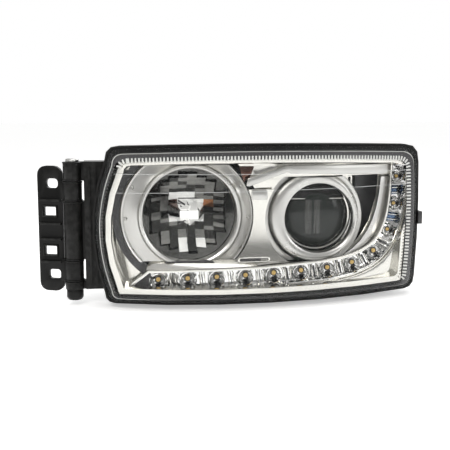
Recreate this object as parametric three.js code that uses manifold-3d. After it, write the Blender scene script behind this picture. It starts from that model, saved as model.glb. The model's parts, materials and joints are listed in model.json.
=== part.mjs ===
// A heavy-vehicle headlamp that swings on a hinge bracket at its side.
// Millimetres, +Z up, the lens towards -Y, +X to the right as seen from in front.
// The housing, bezel and daytime strip follow one swept lens curve; the beams aim on a small gimbal.
import * as THREE from "three";
import { mergeVertices } from "three/addons/utils/BufferGeometryUtils.js";
import Module from "manifold-3d";

const wasm = await Module();
wasm.setup();

// ---- Driving dimensions ----
const GAP = 0.35; // air between touching pieces
// The part's origin, under the middle foot, in the lamp's own face coordinates.
const ORIGIN = { x: 42, y: 82, z: -118 };

// The rim of the lamp: corners, corner rounding and how far each edge bows out.
const RIM = {
  corners: [[-154, 98], [289.5, 97], [287.5, -111], [-157, -112]],
  rounding: [20, 26, 18, 14],
  bow: [3.5, 3, 0.6, 16],
  edgeSteps: [6, 3, 6, 5],
  cornerSteps: 3,
  rightSlope: 1.5, // the right-hand skirt slopes in faster than the others
};
const SWEEP = { nose: 20, depth: 26, run: 170, wrapFrom: -110, wrapDepth: 14, wrapRun: 70 };

const LENS = { front: -12, wall: 3, edge: 14 };
const BEZEL = { lip: -7, floor: 24.3, wall: 1.9 };
const HOUSING = { back: 150, wall: 3, frontLip: 8, groove: 18 };

const HIGH = { x: -43, z: 5.5, aperture: 63, rim: 45, bowl: 62, vertex: 98, neck: 14 };
const HIGH_TRIM = { radius: 92, front: 24 };
const LOW = { x: 134, z: 0, lens: 46, lensNose: 42, lensEdge: 56, bowl: 46, back: 110 };
// The projector's ring is set off-centre, so it is broad on the left and narrow on the right.
const LOW_TRIM = { x: 126.5, z: 0, radius: 69, front: 32, opening: 47, openingZ: -2 };
const FRAME = { front: 66, back: 69 };
const PIVOT = { x: 42, y: 80, z: 0, pin: 3 };

const STRIP = { front: 9, floor: 22, wall: 1.8, board: 29.8 };
const LED = { count: 12, pitch: 38.7, radius: 10.5, smallRadius: 8.5, smallFrom: 9, front: 10 };

const FEET = [
  { left: -106, right: -78, front: 60 },
  { left: 22, right: 62, front: 34 },
  { left: 178, right: 206, front: 72 },
];
const PORT = { hole: 29, collar: 32, collarEnd: 159 };
const CAP = { radius: 39, inner: 33, front: 154, end: 170, grip: 177 };
const FEET_PROFILE = { back: 138, heel: [138, -82], instep: [108, -97], toeTop: -102 };
const PUSHROD = { x: 42, z: -55, radius: 4, ball: 5, ballY: 84 };
const STUD = { x: -125, z: 0, radius: 3, ball: 5, ballY: 84 };

const HINGE = { x: -197, y: 68, radius: 12.5, pin: 4, bush: 7, lean: -20 };
const HOUSING_KNUCKLES = [[50, 76], [-57, 23], [-98, -86]];
const LEAF_KNUCKLES = [[23, 50], [-86, -57]];
const LEAF = { near: -14.5, far: -49.5, top: 70, bottom: -101, thick: 6, rib: 3, ribs: [24, -8, -29, -60] };

// ---- Finishes ----
const FINISH = {
  black: { color: 0x1e1e1c, roughness: 0.6, metalness: 0 },
  clear: { color: 0xf2f6f8, roughness: 0.05, metalness: 0, transparent: true, opacity: 0.25 },
  chrome: { color: 0xd8d6d0, roughness: 0.15, metalness: 1 },
  satin: { color: 0xaaa9a5, roughness: 0.4, metalness: 1 },
  mirror: { color: 0xc8c8c8, roughness: 0.05, metalness: 1 },
  charcoal: { color: 0x2b2a2c, roughness: 0.5, metalness: 0 },
  glass: { color: 0xe8eef0, roughness: 0.02, metalness: 0 },
  rubber: { color: 0x161616, roughness: 0.85, metalness: 0 },
  steel: { color: 0x9a9a98, roughness: 0.35, metalness: 1 },
  board: { color: 0x1f4030, roughness: 0.55, metalness: 0 },
  nylon: { color: 0xdcd8cc, roughness: 0.5, metalness: 0 },
};

// ---- Solids ----
function solid(geometry) {
  let flat = geometry.clone();
  for (const name of Object.keys(flat.attributes)) if (name !== "position") flat.deleteAttribute(name);
  flat = mergeVertices(flat, 1e-3);
  const vertProperties = new Float32Array(flat.attributes.position.array);
  const make = (triVerts) => new wasm.Manifold(new wasm.Mesh({ numProp: 3, vertProperties, triVerts }));
  const faces = new Uint32Array(flat.index.array);
  const made = make(faces);
  return made.volume() < 0 ? make(faces.slice().reverse()) : made;
}

function geometryOf(made) {
  const mesh = made.getMesh();
  const geometry = new THREE.BufferGeometry();
  geometry.setAttribute("position", new THREE.BufferAttribute(new Float32Array(mesh.vertProperties), 3));
  geometry.setIndex(new THREE.BufferAttribute(new Uint32Array(mesh.triVerts), 1));
  geometry.computeVertexNormals();
  return geometry;
}

const join = (...parts) => parts.reduce((all, part) => all.add(part));
const cut = (body, ...tools) => tools.reduce((rest, tool) => rest.subtract(tool), body);

// A box between two opposite corners.
function block([x0, y0, z0], [x1, y1, z1]) {
  const box = new THREE.BoxGeometry(x1 - x0, y1 - y0, z1 - z0);
  return solid(box.translate((x0 + x1) / 2, (y0 + y1) / 2, (z0 + z1) / 2));
}

// A turned piece about the Y axis through (x, z): the profile is [radius, y] pairs.
// It starts and ends on the axis, or closes on itself.
function turned(profile, { x = 0, z = 0, steps = 24 } = {}) {
  const closed = profile[0][0] > 0;
  const points = (closed ? [...profile, profile[0]] : profile).map(([r, y]) => new THREE.Vector2(r, y));
  return solid(new THREE.LatheGeometry(points, steps).translate(x, 0, z));
}

// The same about the upright axis through (x, y), with [radius, z] pairs.
function turnedUpright(profile, { x = 0, y = 0, steps = 12 } = {}) {
  const closed = profile[0][0] > 0;
  const points = (closed ? [...profile, profile[0]] : profile).map(([r, z]) => new THREE.Vector2(r, z));
  return solid(new THREE.LatheGeometry(points, steps).rotateX(Math.PI / 2).translate(x, y, 0));
}

// A side-view shape of [y, z] points pushed from one x to another.
function sideProfile(points, from, to) {
  const pushed = new THREE.ExtrudeGeometry(shapeOf(points), { depth: to - from, bevelEnabled: false });
  const turn = new THREE.Matrix4().makeBasis(
    new THREE.Vector3(0, 1, 0), new THREE.Vector3(0, 0, 1), new THREE.Vector3(1, 0, 0));
  return solid(pushed.applyMatrix4(turn).translate(from, 0, 0));
}

const rod = (radius, from, to, place) => turned([[0, from], [radius, from], [radius, to], [0, to]], place);
const post = (radius, from, to, place) =>
  turnedUpright([[0, from], [radius, from], [radius, to], [0, to]], place);

// A front-view shape pushed from one depth to another.
function prism(shape, from, to, curveSegments = 2) {
  const pushed = new THREE.ExtrudeGeometry(shape, { depth: to - from, bevelEnabled: false, curveSegments });
  return solid(pushed.rotateX(Math.PI / 2).translate(0, to, 0));
}

const shapeOf = (points) => new THREE.Shape(points.map(([x, z]) => new THREE.Vector2(x, z)));

function disc(x, z, radius) {
  const shape = new THREE.Shape();
  shape.absarc(x, z, radius, 0, 2 * Math.PI, false);
  return shape;
}

function roundedRectangle(left, bottom, right, top, radius) {
  const shape = new THREE.Shape();
  shape.moveTo(left + radius, bottom);
  shape.lineTo(right - radius, bottom);
  shape.absarc(right - radius, bottom + radius, radius, -Math.PI / 2, 0, false);
  shape.absarc(right - radius, top - radius, radius, 0, Math.PI / 2, false);
  shape.absarc(left + radius, top - radius, radius, Math.PI / 2, Math.PI, false);
  shape.absarc(left + radius, bottom + radius, radius, Math.PI, 1.5 * Math.PI, false);
  return shape;
}

// ---- The swept lamp face ----
// How far the lens curve has fallen back at x: a shallow parabola, with a quicker turn at the left end.
function sweep(x) {
  const wrap = Math.max(0, SWEEP.wrapFrom - x) / SWEEP.wrapRun;
  return SWEEP.depth * ((x - SWEEP.nose) / SWEEP.run) ** 2 + SWEEP.wrapDepth * wrap ** 2;
}

const sweepSlope = (x) => (sweep(x + 1) - sweep(x - 1)) / 2;

// The rim outline brought inwards by an inset, always with the same number of points.
function outline(inset) {
  const sides = [[1, -1], [-RIM.rightSlope, -1], [-RIM.rightSlope, 1], [1, 1]];
  const corners = RIM.corners.map(([x, z], i) =>
    new THREE.Vector2(x + sides[i][0] * inset, z + sides[i][1] * inset));
  const radii = RIM.rounding.map((radius) => Math.max(3, radius - 0.4 * Math.max(inset, 0)));
  const towards = (from, to, distance) => from.clone().lerp(to, distance / from.distanceTo(to));
  const points = [];
  corners.forEach((corner, i) => {
    const before = corners[(i + 3) % 4];
    const after = corners[(i + 1) % 4];
    const round = new THREE.QuadraticBezierCurve(
      towards(corner, before, radii[i]), corner, towards(corner, after, radii[i]));
    const edgeEnd = towards(after, corner, radii[(i + 1) % 4]);
    const along = edgeEnd.clone().sub(round.v2).normalize();
    const middle = round.v2.clone().add(edgeEnd).multiplyScalar(0.5);
    middle.add(new THREE.Vector2(-along.y, along.x).multiplyScalar(2 * RIM.bow[i]));
    const edge = new THREE.QuadraticBezierCurve(round.v2, middle, edgeEnd);
    points.push(...round.getPoints(RIM.cornerSteps).slice(0, -1));
    points.push(...edge.getPoints(RIM.edgeSteps[i]).slice(0, -1));
  });
  return points;
}

const outlineShape = (inset) => shapeOf(outline(inset).map((p) => [p.x, p.y]));

// One ring of the outline in space: it follows the sweep fully (1), or lies flat (0).
const ring = (inset, depth, follow = 1) =>
  outline(inset).map((p) => new THREE.Vector3(p.x, depth + follow * sweep(p.x), p.y));

// Rings joined into one skin. A rail's last ring meets its first; a cup's two ends are filled.
function skin(rings, isRail) {
  const count = rings[0].length;
  const positions = rings.flat().flatMap((p) => [p.x, p.y, p.z]);
  const index = [];
  const last = isRail ? rings.length : rings.length - 1;
  for (let r = 0; r < last; r++) {
    const a = r * count;
    const b = ((r + 1) % rings.length) * count;
    for (let i = 0; i < count; i++) {
      const j = (i + 1) % count;
      index.push(a + i, a + j, b + j, a + i, b + j, b + i);
    }
  }
  if (!isRail) {
    // Each end cap turns against the ring at the first end, and with it at the last.
    const contour = rings[0].map((p) => new THREE.Vector2(p.x, p.z));
    const base = (rings.length - 1) * count;
    const turn = Math.sign(THREE.ShapeUtils.area(contour));
    for (const [p, q, s] of THREE.ShapeUtils.triangulateShape(contour, [])) {
      const same = Math.sign(THREE.ShapeUtils.area([contour[p], contour[q], contour[s]])) === turn;
      if (same) index.push(p, s, q, base + p, base + q, base + s);
      else index.push(p, q, s, base + p, base + s, base + q);
    }
  }
  const geometry = new THREE.BufferGeometry();
  geometry.setAttribute("position", new THREE.Float32BufferAttribute(positions, 3));
  geometry.setIndex(index);
  return solid(geometry);
}

const rail = (section) => skin(section.map((row) => ring(...row)), true);
const cup = (section) => skin(section.map((row) => ring(...row)), false);

// Everything between two depths behind the lens curve.
function band(near, far) {
  const stations = [];
  for (let x = -190; x <= 320; x += 24) stations.push(x);
  const plan = new THREE.Shape([
    ...stations.map((x) => new THREE.Vector2(x, near + sweep(x))),
    ...stations.reverse().map((x) => new THREE.Vector2(x, far + sweep(x))),
  ]);
  const height = 300;
  const pushed = new THREE.ExtrudeGeometry(plan, { depth: height, bevelEnabled: false });
  return solid(pushed.translate(0, 0, -height / 2));
}

const sheet = (shape, near, far, curveSegments = 2) =>
  prism(shape, -40, 160, curveSegments).intersect(band(near, far));

// ---- The daytime strip's outline ----
// It runs level along the bottom and turns up the right-hand side; a margin narrows it on both edges.
function stripShape(margin) {
  const m = margin;
  const shape = new THREE.Shape();
  shape.moveTo(-131 + 3 * m, -93.5 + m);
  shape.lineTo(-99 + m / 2, -67.5 - m);
  shape.lineTo(50, -64 - m);
  shape.lineTo(105, -61 - m);
  shape.bezierCurveTo(212 + m, -57 - m, 242 + m, -50 - m, 242.5 + m, 69 - m);
  shape.lineTo(270 - m, 69 - m);
  shape.bezierCurveTo(270 - m, -68 + m, 222 - m, -85 + m, 105, -87.5 + m);
  shape.lineTo(-84, -94 + m);
  shape.lineTo(-131 + 3 * m, -96.5 + m);
  return shape;
}

// The lights stand at an even pitch along the middle of the strip.
function ledPlaces() {
  const path = new THREE.CurvePath();
  const bend = new THREE.Vector2(105, -74.5);
  path.add(new THREE.LineCurve(new THREE.Vector2(-86, -82.5), bend));
  path.add(new THREE.CubicBezierCurve(bend, new THREE.Vector2(218, -72),
    new THREE.Vector2(255, -66), new THREE.Vector2(257, 69)));
  const length = path.getLength();
  return Array.from({ length: LED.count }, (_, i) => {
    const { x, y } = path.getPointAt((i * LED.pitch) / length);
    return { x, z: y, radius: i < LED.smallFrom ? LED.radius : LED.smallRadius };
  });
}

// ---- Scene graph ----
const lamp = new THREE.Group();
lamp.position.set(-ORIGIN.x, -ORIGIN.y, -ORIGIN.z);

function add(name, finish, made, parent = lamp) {
  const mesh = new THREE.Mesh(geometryOf(made), new THREE.MeshStandardMaterial(FINISH[finish]));
  mesh.name = name;
  parent.add(mesh);
  return mesh;
}

// ---- Housing: a black moulded tub with a groove for the lens and hinge knuckles at the left ----
function housing() {
  const tub = cup([
    [34, HOUSING.back, 0], [13, 108, 0], [8, 26], [0, 26], [0, HOUSING.frontLip], [2.5, HOUSING.frontLip],
    [2.5, HOUSING.groove], [9, HOUSING.groove], [9, 12], [11.5, 12], [11.5, 28], [16.5, 106, 0],
    [36.5, HOUSING.back - HOUSING.wall, 0],
  ]);
  const boss = block([-182, 64.5, -98], [-146, 90, 76]);
  const sideBoss = cut(boss, prism(outlineShape(9.5), 0, 200));
  const ribs = [-176, -168].map((x) => block([x, 61.5, -92], [x + 2.5, 66, 70]));
  const topRails = [[-128, 2], [12, 236]].map(([from, to]) => block([from, 84, 84.5], [to, 88, 95]));
  const { back, heel, instep, toeTop } = FEET_PROFILE;
  const feet = FEET.map(({ left, right, front }) => sideProfile(
    [[front, ORIGIN.z], [back, ORIGIN.z], heel, instep, [front, toeTop]], left, right));
  let body = join(tub, sideBoss, ...ribs, ...topRails, ...feet);
  for (const [from, to] of HOUSING_KNUCKLES) {
    body = join(body, post(HINGE.radius, from + GAP, to - GAP, HINGE),
      block([HINGE.x, HINGE.y - 2, from + GAP], [-180, HINGE.y + 12, to - GAP]));
  }
  const collars = [HIGH, LOW].map(({ x, z }) => turned([
    [PORT.hole, HOUSING.back - 2], [PORT.hole, PORT.collarEnd], [PORT.collar, PORT.collarEnd],
    [PORT.collar, HOUSING.back - 2]], { x, z, steps: 20 }));
  const holes = [HIGH, LOW].map((port) => rod(PORT.hole, 140, 152, { ...port, steps: 20 }));
  const pushrodHole = rod(PUSHROD.radius + 2.5, 140, 156, PUSHROD);
  const studHole = rod(6, 140, 156, STUD);
  const pinHole = post(HINGE.pin + GAP, -120, 100, HINGE);
  return cut(join(cut(body, ...holes), ...collars), pushrodHole, studHole, pinHole);
}

function lensCover() {
  const face = sheet(outlineShape(LENS.edge), LENS.front, LENS.front + LENS.wall);
  const skirt = rail([[3.5, 16], [3.5, 5], [13, -10.6], [17, -11.4], [17, -9.6], [8, 5], [8, 16]]);
  return join(face, skirt);
}

const lensSeal = () => rail([[3.2, 16.4], [8.3, 16.4], [8.3, 17.6], [3.2, 17.6]]);

// ---- Bezel: bright border, inner wall, recessed face and the bar under the top edge ----
function bezel() {
  const border = rail([
    [17, BEZEL.lip], [24, BEZEL.lip], [27.5, 22], [27.5, 28.5], [12.4, 28.5], [12.4, 26.6], [25.3, 26.6],
    [22.3, BEZEL.lip + 2], [17, BEZEL.lip + 2]]);
  const face = sheet(outlineShape(26.4), BEZEL.floor, BEZEL.floor + BEZEL.wall);
  const barShape = shapeOf([[241, 70], [86, 71], [34, 55], [32, 46], [84, 63], [91, 60.5], [240, 55.5]]);
  const bar = sheet(barShape, 12, 26);
  const highHole = prism(disc(HIGH.x, HIGH.z, HIGH_TRIM.radius + 1), -20, 120, 16);
  const lowHole = prism(disc(LOW_TRIM.x, LOW_TRIM.z, LOW_TRIM.radius + 1), 0, 120, 16);
  const belowBar = block([0, 0, -90], [260, 120, 55.5]);
  const sideWindow = shapeOf([
    [178, 55], [226, 55], [223.5, 25], [212, -10], [196, -33], [184, -44], [180, 0]]);
  return cut(join(border, cut(face, highHole), bar), lowHole.intersect(belowBar), stripPocket(),
    prism(sideWindow, 8, 120));
}

// Room for the strip: it follows the curve at the left, and at the right it opens to the very front.
function stripPocket() {
  const following = sheet(stripShape(-0.6), STRIP.front - 1, 60, 8);
  const open = prism(stripShape(-0.6), STRIP.front - 1, 120, 8);
  return join(following, open.intersect(block([80, 0, -120], [300, 120, 100])));
}

function highBeamTrim() {
  const { front: y, radius: edge } = HIGH_TRIM;
  const r = HIGH.aperture;
  const dish = turned([
    [r - 1, y + 14], [r, y + 3], [r + 2, y], [r + 5, y + 1], [r + 7, y + 5], [edge - 2, y + 8],
    [edge, y + 12], [edge - 2, y + 12], [r + 6, y + 8], [r + 3, y + 7], [r + 1, y + 14]], { ...HIGH, steps: 40 });
  const window = prism(outlineShape(28.2), 0, 120);
  return cut(dish.intersect(window), prism(stripShape(-1), 0, 120, 8));
}

function projectorTrim() {
  const { x, z, front: y, radius: edge, opening, openingZ } = LOW_TRIM;
  const dish = turned([
    [0, y + 4], [opening + 2, y], [edge - 6, y + 1], [edge - 3, y + 5], [edge, y + 6], [edge, y + 12],
    [edge - 2, y + 12], [edge - 4, y + 8], [opening, y + 4], [0, y + 8]], { x, z, steps: 40 });
  const hole = rod(opening, 0, 120, { x: LOW.x, z: openingZ, steps: 40 });
  const underBar = block([40, 0, -90], [220, 120, 54.5]);
  return cut(dish.intersect(underBar), hole, prism(stripShape(-0.8), 0, 120, 8));
}

function cornerBlade() {
  const shape = new THREE.Shape();
  shape.moveTo(227, 52);
  shape.bezierCurveTo(224, 0, 208, -38, 166, -55.5);
  shape.lineTo(166, -66);
  shape.bezierCurveTo(225, -62, 252, -45, 256, 52);
  return cut(sheet(shape, 14, BEZEL.floor - GAP, 7), prism(stripShape(-0.8), -40, 160, 8),
    prism(disc(LOW_TRIM.x, LOW_TRIM.z, LOW_TRIM.radius + 0.8), -40, 160, 14));
}

const centrePanel = () => sheet(roundedRectangle(44.5, -54, 60, 34, 2), 20, BEZEL.floor - GAP);
const sideShroud = () => sheet(roundedRectangle(196, -42, 236, 60, 3), 44, 46);

// ---- Daytime strip ----
function reflectorStrip() {
  const whole = sheet(stripShape(0), STRIP.front, STRIP.floor + STRIP.wall, 8);
  const hollow = sheet(stripShape(STRIP.wall), STRIP.front - 1, STRIP.floor, 8);
  const seats = ledPlaces().map(({ x, z, radius }) => prism(disc(x, z, radius + 0.6), 0, 160, 5));
  return cut(whole, hollow, ...seats);
}

const circuitBoard = () => sheet(stripShape(4), STRIP.board, STRIP.board + 1.6, 6);

function ledLens({ x, z, radius: r }) {
  const front = sweep(x) + LED.front;
  const back = sweep(x) + STRIP.board - Math.abs(sweepSlope(x)) * r - 3 * GAP;
  const profile = [[0, front], [r * 0.6, front + 0.8], [r, front + 4], [r * 0.8, back], [0, back]];
  return turned(profile, { x, z, steps: 10 });
}

// ---- Aiming frame, gimbal and lamps ----
function aimFrame() {
  const plate = roundedRectangle(-136, -62, 193, 72, 12);
  plate.holes.push(disc(HIGH.x, HIGH.z, 54), disc(LOW.x, LOW.z, 52));
  const cheeks = [-16, 12].map((x) => block([PIVOT.x + x, FRAME.front + 1, -8], [PIVOT.x + x + 4, 88, 8]));
  const sockets = [PUSHROD, STUD].map(({ x, z, ballY, ball }) => turned([
    [0, FRAME.front + 1], [9, FRAME.front + 1], [9, ballY + 6], [ball + 1.6, ballY + 6],
    [ball + 1.6, ballY - 8], [0, ballY - 8]], { x, z, steps: 12 }));
  const pinHoles = [-20, 8].map((x) => {
    const bore = new THREE.CylinderGeometry(PIVOT.pin + 0.2, PIVOT.pin + 0.2, 12, 12);
    return solid(bore.rotateZ(Math.PI / 2).translate(PIVOT.x + x + 6, PIVOT.y, 0));
  });
  return cut(join(prism(plate, FRAME.front, FRAME.back, 10), ...cheeks, ...sockets), ...pinHoles);
}

function pivotBracket() {
  const x = PIVOT.x;
  const base = block([x - 14, 143, -24], [x + 14, HOUSING.back - HOUSING.wall - GAP, 24]);
  const lugs = [-16, 11.3].map((z) => block([x - 8, 72, z], [x + 8, 144, z + 4.7]));
  return cut(join(base, ...lugs), post(PIVOT.pin + 0.2, -30, 30, PIVOT));
}

function gimbalBlock() {
  const { x, y } = PIVOT;
  const cube = block([x - 11.4, y - 7, -10.8], [x + 11.4, y + 7, 10.8]);
  const cross = [-1, 1].map((side) => {
    const bore = new THREE.CylinderGeometry(PIVOT.pin + 0.2, PIVOT.pin + 0.2, 10, 12);
    return solid(bore.rotateZ(Math.PI / 2).translate(x + side * 9.8, y, 0));
  });
  return cut(cube, post(PIVOT.pin + 0.2, -20, 20, PIVOT), ...cross);
}

function pitchPin(side) {
  const pin = new THREE.CylinderGeometry(PIVOT.pin, PIVOT.pin, 11.5, 12);
  return solid(pin.rotateZ(Math.PI / 2).translate(PIVOT.x + side * 11, PIVOT.y, 0));
}

const yawPin = () => post(PIVOT.pin, -18, 18, PIVOT);

// A parabolic bowl with its flange on the frame's front face.
function highReflector() {
  const { rim, vertex, neck, bowl: mouth } = HIGH;
  const focal = mouth ** 2 / (4 * (vertex - rim));
  const radius = (y) => Math.sqrt(4 * focal * (vertex - y));
  const neckY = vertex - neck ** 2 / (4 * focal);
  const depths = [0, 0.2, 0.4, 0.6, 0.8, 1].map((t) => rim + (neckY - rim) * t);
  const wall = 2.6;
  const inner = depths.map((y) => [radius(y), y]);
  const outer = depths.map((y) => [radius(y) + wall, y]).reverse();
  const bowl = turned([...inner, [neck, vertex], [neck + wall, vertex], ...outer], { ...HIGH, steps: 32 });
  const seat = FRAME.front - GAP;
  const flange = turned([[52.5, 61.5], [62, 61.5], [62, seat], [52.5, seat]], { ...HIGH, steps: 32 });
  return join(bowl, flange);
}

function bulb({ x, z }, seat, nose) {
  const glass = turned([
    [0, nose], [4, nose + 1], [5.5, nose + 5], [5.5, seat - 6], [9, seat - 4], [9, seat + 0.5],
    [16, seat + 0.5], [16, seat + 3.5], [11, seat + 4], [11, seat + 16], [0, seat + 16]],
  { x, z, steps: 14 });
  const blades = [-6, 4.5].map((dx) => block([x + dx, seat + 15, z - 3], [x + dx + 1.5, seat + 22, z + 3]));
  return join(glass, ...blades);
}

function bulbShield() {
  const { x, z } = HIGH;
  const cap = turned([
    [0, 54], [8, 54.6], [9.5, 58], [9.5, 66], [8.3, 66], [8.3, 58.6], [0, 56.2]], { x, z, steps: 16 });
  const strut = block([x - 1.5, 60, z - 48], [x + 1.5, 61.2, z - 9]);
  return join(cap, strut);
}

function projectorLens() {
  const { lens, lensNose, lensEdge } = LOW;
  const depth = lensEdge - lensNose;
  const radius = (lens ** 2 + depth ** 2) / (2 * depth);
  const dome = [0, 0.2, 0.4, 0.6, 0.8, 1].map((t) =>
    [lens * t, lensNose + radius - Math.sqrt(radius ** 2 - (lens * t) ** 2)]);
  return turned([...dome, [lens, lensEdge + 2], [0, lensEdge + 2]], { ...LOW, steps: 32 });
}

const lensRetainer = () => turned([
  [44.3, 51.8], [50, 51.8], [50, 55.6], [46.6, 55.6], [46.6, 54], [44.3, 54]], { ...LOW, steps: 32 });

const lensHolder = () => turned([
  [46.6, 56], [50, 56], [50, 62], [60, 62], [60, 65.6], [42, 65.6], [42, 58.5], [46.6, 58.5]],
  { ...LOW, steps: 32 });

function projectorBowl() {
  const { bowl: mouth, back } = LOW;
  const start = FRAME.back + GAP;
  const depths = [0, 0.25, 0.5, 0.75, 0.92].map((t) => start + (back - start) * t);
  const radius = (y) => mouth * Math.sqrt(1 - ((y - start) / (back - start + 2)) ** 2);
  const inner = depths.map((y) => [radius(y) - 2.5, y + 0.6]);
  const outer = depths.map((y) => [radius(y), y]).reverse();
  return turned([[57, start], [43.5, start], ...inner, [12, back], [17, back], ...outer.slice(0, -1),
    [mouth, start + 3], [57, start + 3]], { ...LOW, steps: 28 });
}

function cutoffShield() {
  const { x, z } = LOW;
  const [near, far] = [62, 63.5];
  const low = prism(roundedRectangle(x - 38, z - 12, x + 38, z - 1, 4), near, far);
  const raised = prism(roundedRectangle(x - 38, z - 12, x + 4, z + 1.5, 1), near, far);
  return join(low, raised);
}

// A sprung wire that holds a bulb in its seat, hinged along its top edge.
function bulbClip({ x, z }, y) {
  const frame = roundedRectangle(x - 15, z - 18, x + 15, z + 20, 3);
  frame.holes.push(roundedRectangle(x - 13, z - 15.5, x + 13, z + 17.5, 2));
  return prism(frame, y, y + 1.8, 1);
}

// ---- Adjusters, motor and caps at the back ----
function levellingMotor() {
  const { x, z } = PUSHROD;
  const y = HOUSING.back + GAP;
  const body = prism(roundedRectangle(x - 21, z - 20, x + 21, z + 20, 5), y, 176, 2);
  const gearTop = rod(12, 175, 178, { x, z, steps: 14 });
  return cut(join(body, gearTop), rod(PUSHROD.radius + 0.5, y - 2, 170, { x, z, steps: 12 }));
}

const ballRod = ({ x, z, radius, ball, ballY }, end) => turned([
  [0, ballY - ball], [ball * 0.7, ballY - ball * 0.7], [ball, ballY], [ball * 0.8, ballY + ball * 0.6],
  [radius, ballY + ball * 0.9], [radius, end], [0, end]], { x, z, steps: 10 });

function yawKnob() {
  const { x, z, radius } = STUD;
  const sleeve = turned([
    [radius + 0.4, 104], [5.5, 104], [5.5, 150.5], [10, 150.5], [11, 152], [11, 162], [9, 164],
    [0, 164], [0, 158], [radius + 0.4, 158]], { x, z, steps: 14 });
  return join(sleeve, block([x - 1.6, 163, z - 8], [x + 1.6, 167, z + 8]));
}

const capSeal = ({ x, z }) => turned([
  [PORT.collar + 0.5, 150.6], [36.5, 150.6], [36.5, 153.6], [PORT.collar + 0.5, 153.6]], { x, z, steps: 28 });

function cap({ x, z }) {
  const { radius, inner, front, end, grip } = CAP;
  const shell = turned([
    [0, end], [radius - 3, end], [radius, end - 3], [radius, front], [inner, front],
    [inner, end - 3.5], [0, end - 3.5]], { x, z, steps: 28 });
  const bar = prism(roundedRectangle(x - 28, z - 5, x + 28, z + 5, 4), end - 1, grip, 2);
  return join(shell, bar);
}

function drlDriver() {
  const y = HOUSING.back + GAP;
  const box = prism(roundedRectangle(180, -44, 230, 42, 3), y, 166, 1);
  const fins = [-38, -26, -14, -2, 10, 22, 34].map((z) => block([184, 165, z], [226, 172, z + 3]));
  return join(box, ...fins);
}

function connectorSocket() {
  const y = HOUSING.back + GAP;
  const shell = prism(roundedRectangle(24, 28, 64, 56, 3), y, 174, 1);
  const mouth = prism(roundedRectangle(27, 31, 61, 53, 2), 156, 180, 1);
  const pins = [32, 40, 48, 54].map((x) => block([x, 154, 41], [x + 1.5, 168, 43]));
  return join(cut(shell, mouth), ...pins);
}

const breather = (x, z) => turned([
  [0, HOUSING.back + GAP], [8, HOUSING.back + GAP], [8, 158], [6, 160], [0, 160]], { x, z, steps: 14 });

function lensClip() {
  const flank = block([293.6, 69, -18], [296, 100, 0]);
  const hook = block([289.9, 69, -18], [295, 72, 0]);
  return join(flank, hook);
}

// ---- Hinge bracket ----
// Drawn about the hinge axis, pointing to -X, then leaned back by the group that holds it.
function hingeBracket() {
  const { near, far, top, bottom, thick, rib, ribs } = LEAF;
  const leaf = roundedRectangle(far, bottom, near, top, 12);
  leaf.holes.push(
    roundedRectangle(-37, 40, -20, 53, 5), roundedRectangle(-41, 2.5, -24, 14.5, 1),
    roundedRectangle(-41, -51, -24, -39, 1), roundedRectangle(-36, -84, -19, -71, 4));
  let body = prism(leaf, -thick / 2, thick / 2, 2);
  for (const z of ribs) {
    body = join(body, block([far + 3, -9, z - rib / 2], [near - 1, 0, z + rib / 2]));
  }
  for (const [from, to] of LEAF_KNUCKLES) {
    body = join(body, post(HINGE.radius, from + GAP, to - GAP));
    body = join(body, block([near - 2, -7, from + GAP], [0, 7, to - GAP]));
  }
  return cut(body, post(HINGE.bush + GAP, -120, 100));
}

const hingeBush = (from, to) => turnedUpright([
  [HINGE.pin + GAP, from + GAP], [HINGE.bush, from + GAP],
  [HINGE.bush, to - GAP], [HINGE.pin + GAP, to - GAP]]);

const hingePin = () => turnedUpright([
  [0, -110], [HINGE.pin, -110], [HINGE.pin, 76], [9, 76], [9, 78.5], [7, 80], [0, 80]], HINGE);
const pinNut = () => turnedUpright([
  [HINGE.pin + GAP, -98], [11, -98], [11.5, -100], [11.5, -108], [9, -112],
  [HINGE.pin + GAP, -112]], { ...HINGE, steps: 14 });

// ---- Assembly ----
add("housing", "black", housing());
add("lens_cover", "clear", lensCover());
add("lens_seal", "rubber", lensSeal());
add("lens_clip", "steel", lensClip());
add("bezel", "chrome", bezel());
add("high_beam_trim_ring", "satin", highBeamTrim());
add("projector_trim_ring", "chrome", projectorTrim());
add("corner_blade", "satin", cornerBlade());
add("centre_panel", "chrome", centrePanel());
add("side_shroud", "charcoal", sideShroud());
add("drl_reflector_strip", "mirror", reflectorStrip());
add("drl_circuit_board", "board", circuitBoard());
ledPlaces().forEach((place, i) => add("drl_lens_" + String(i + 1).padStart(2, "0"), "glass", ledLens(place)));
add("pivot_bracket", "black", pivotBracket());
add("yaw_pin", "steel", yawPin());
add("gimbal_block", "nylon", gimbalBlock());
add("pitch_pin_left", "steel", pitchPin(-1));
add("pitch_pin_right", "steel", pitchPin(1));
add("aim_frame", "black", aimFrame());
add("high_beam_reflector", "mirror", highReflector());
add("high_beam_bulb", "glass", bulb(HIGH, HIGH.vertex, 68));
add("bulb_shield", "satin", bulbShield());
add("projector_lens", "glass", projectorLens());
add("lens_retainer", "black", lensRetainer());
add("lens_holder", "satin", lensHolder());
add("projector_reflector", "mirror", projectorBowl());
add("cutoff_shield", "steel", cutoffShield());
add("low_beam_bulb", "glass", bulb(LOW, LOW.back, 84));
add("high_bulb_clip", "steel", bulbClip(HIGH, HIGH.vertex + 5));
add("low_bulb_clip", "steel", bulbClip(LOW, LOW.back + 5));
add("levelling_motor", "black", levellingMotor());
add("levelling_pushrod", "nylon", ballRod(PUSHROD, 164));
add("yaw_adjuster_stud", "nylon", ballRod(STUD, 148));
add("yaw_adjuster_knob", "nylon", yawKnob());
add("high_cap_seal", "rubber", capSeal(HIGH));
add("high_cap", "black", cap(HIGH));
add("low_cap_seal", "rubber", capSeal(LOW));
add("low_cap", "black", cap(LOW));
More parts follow.
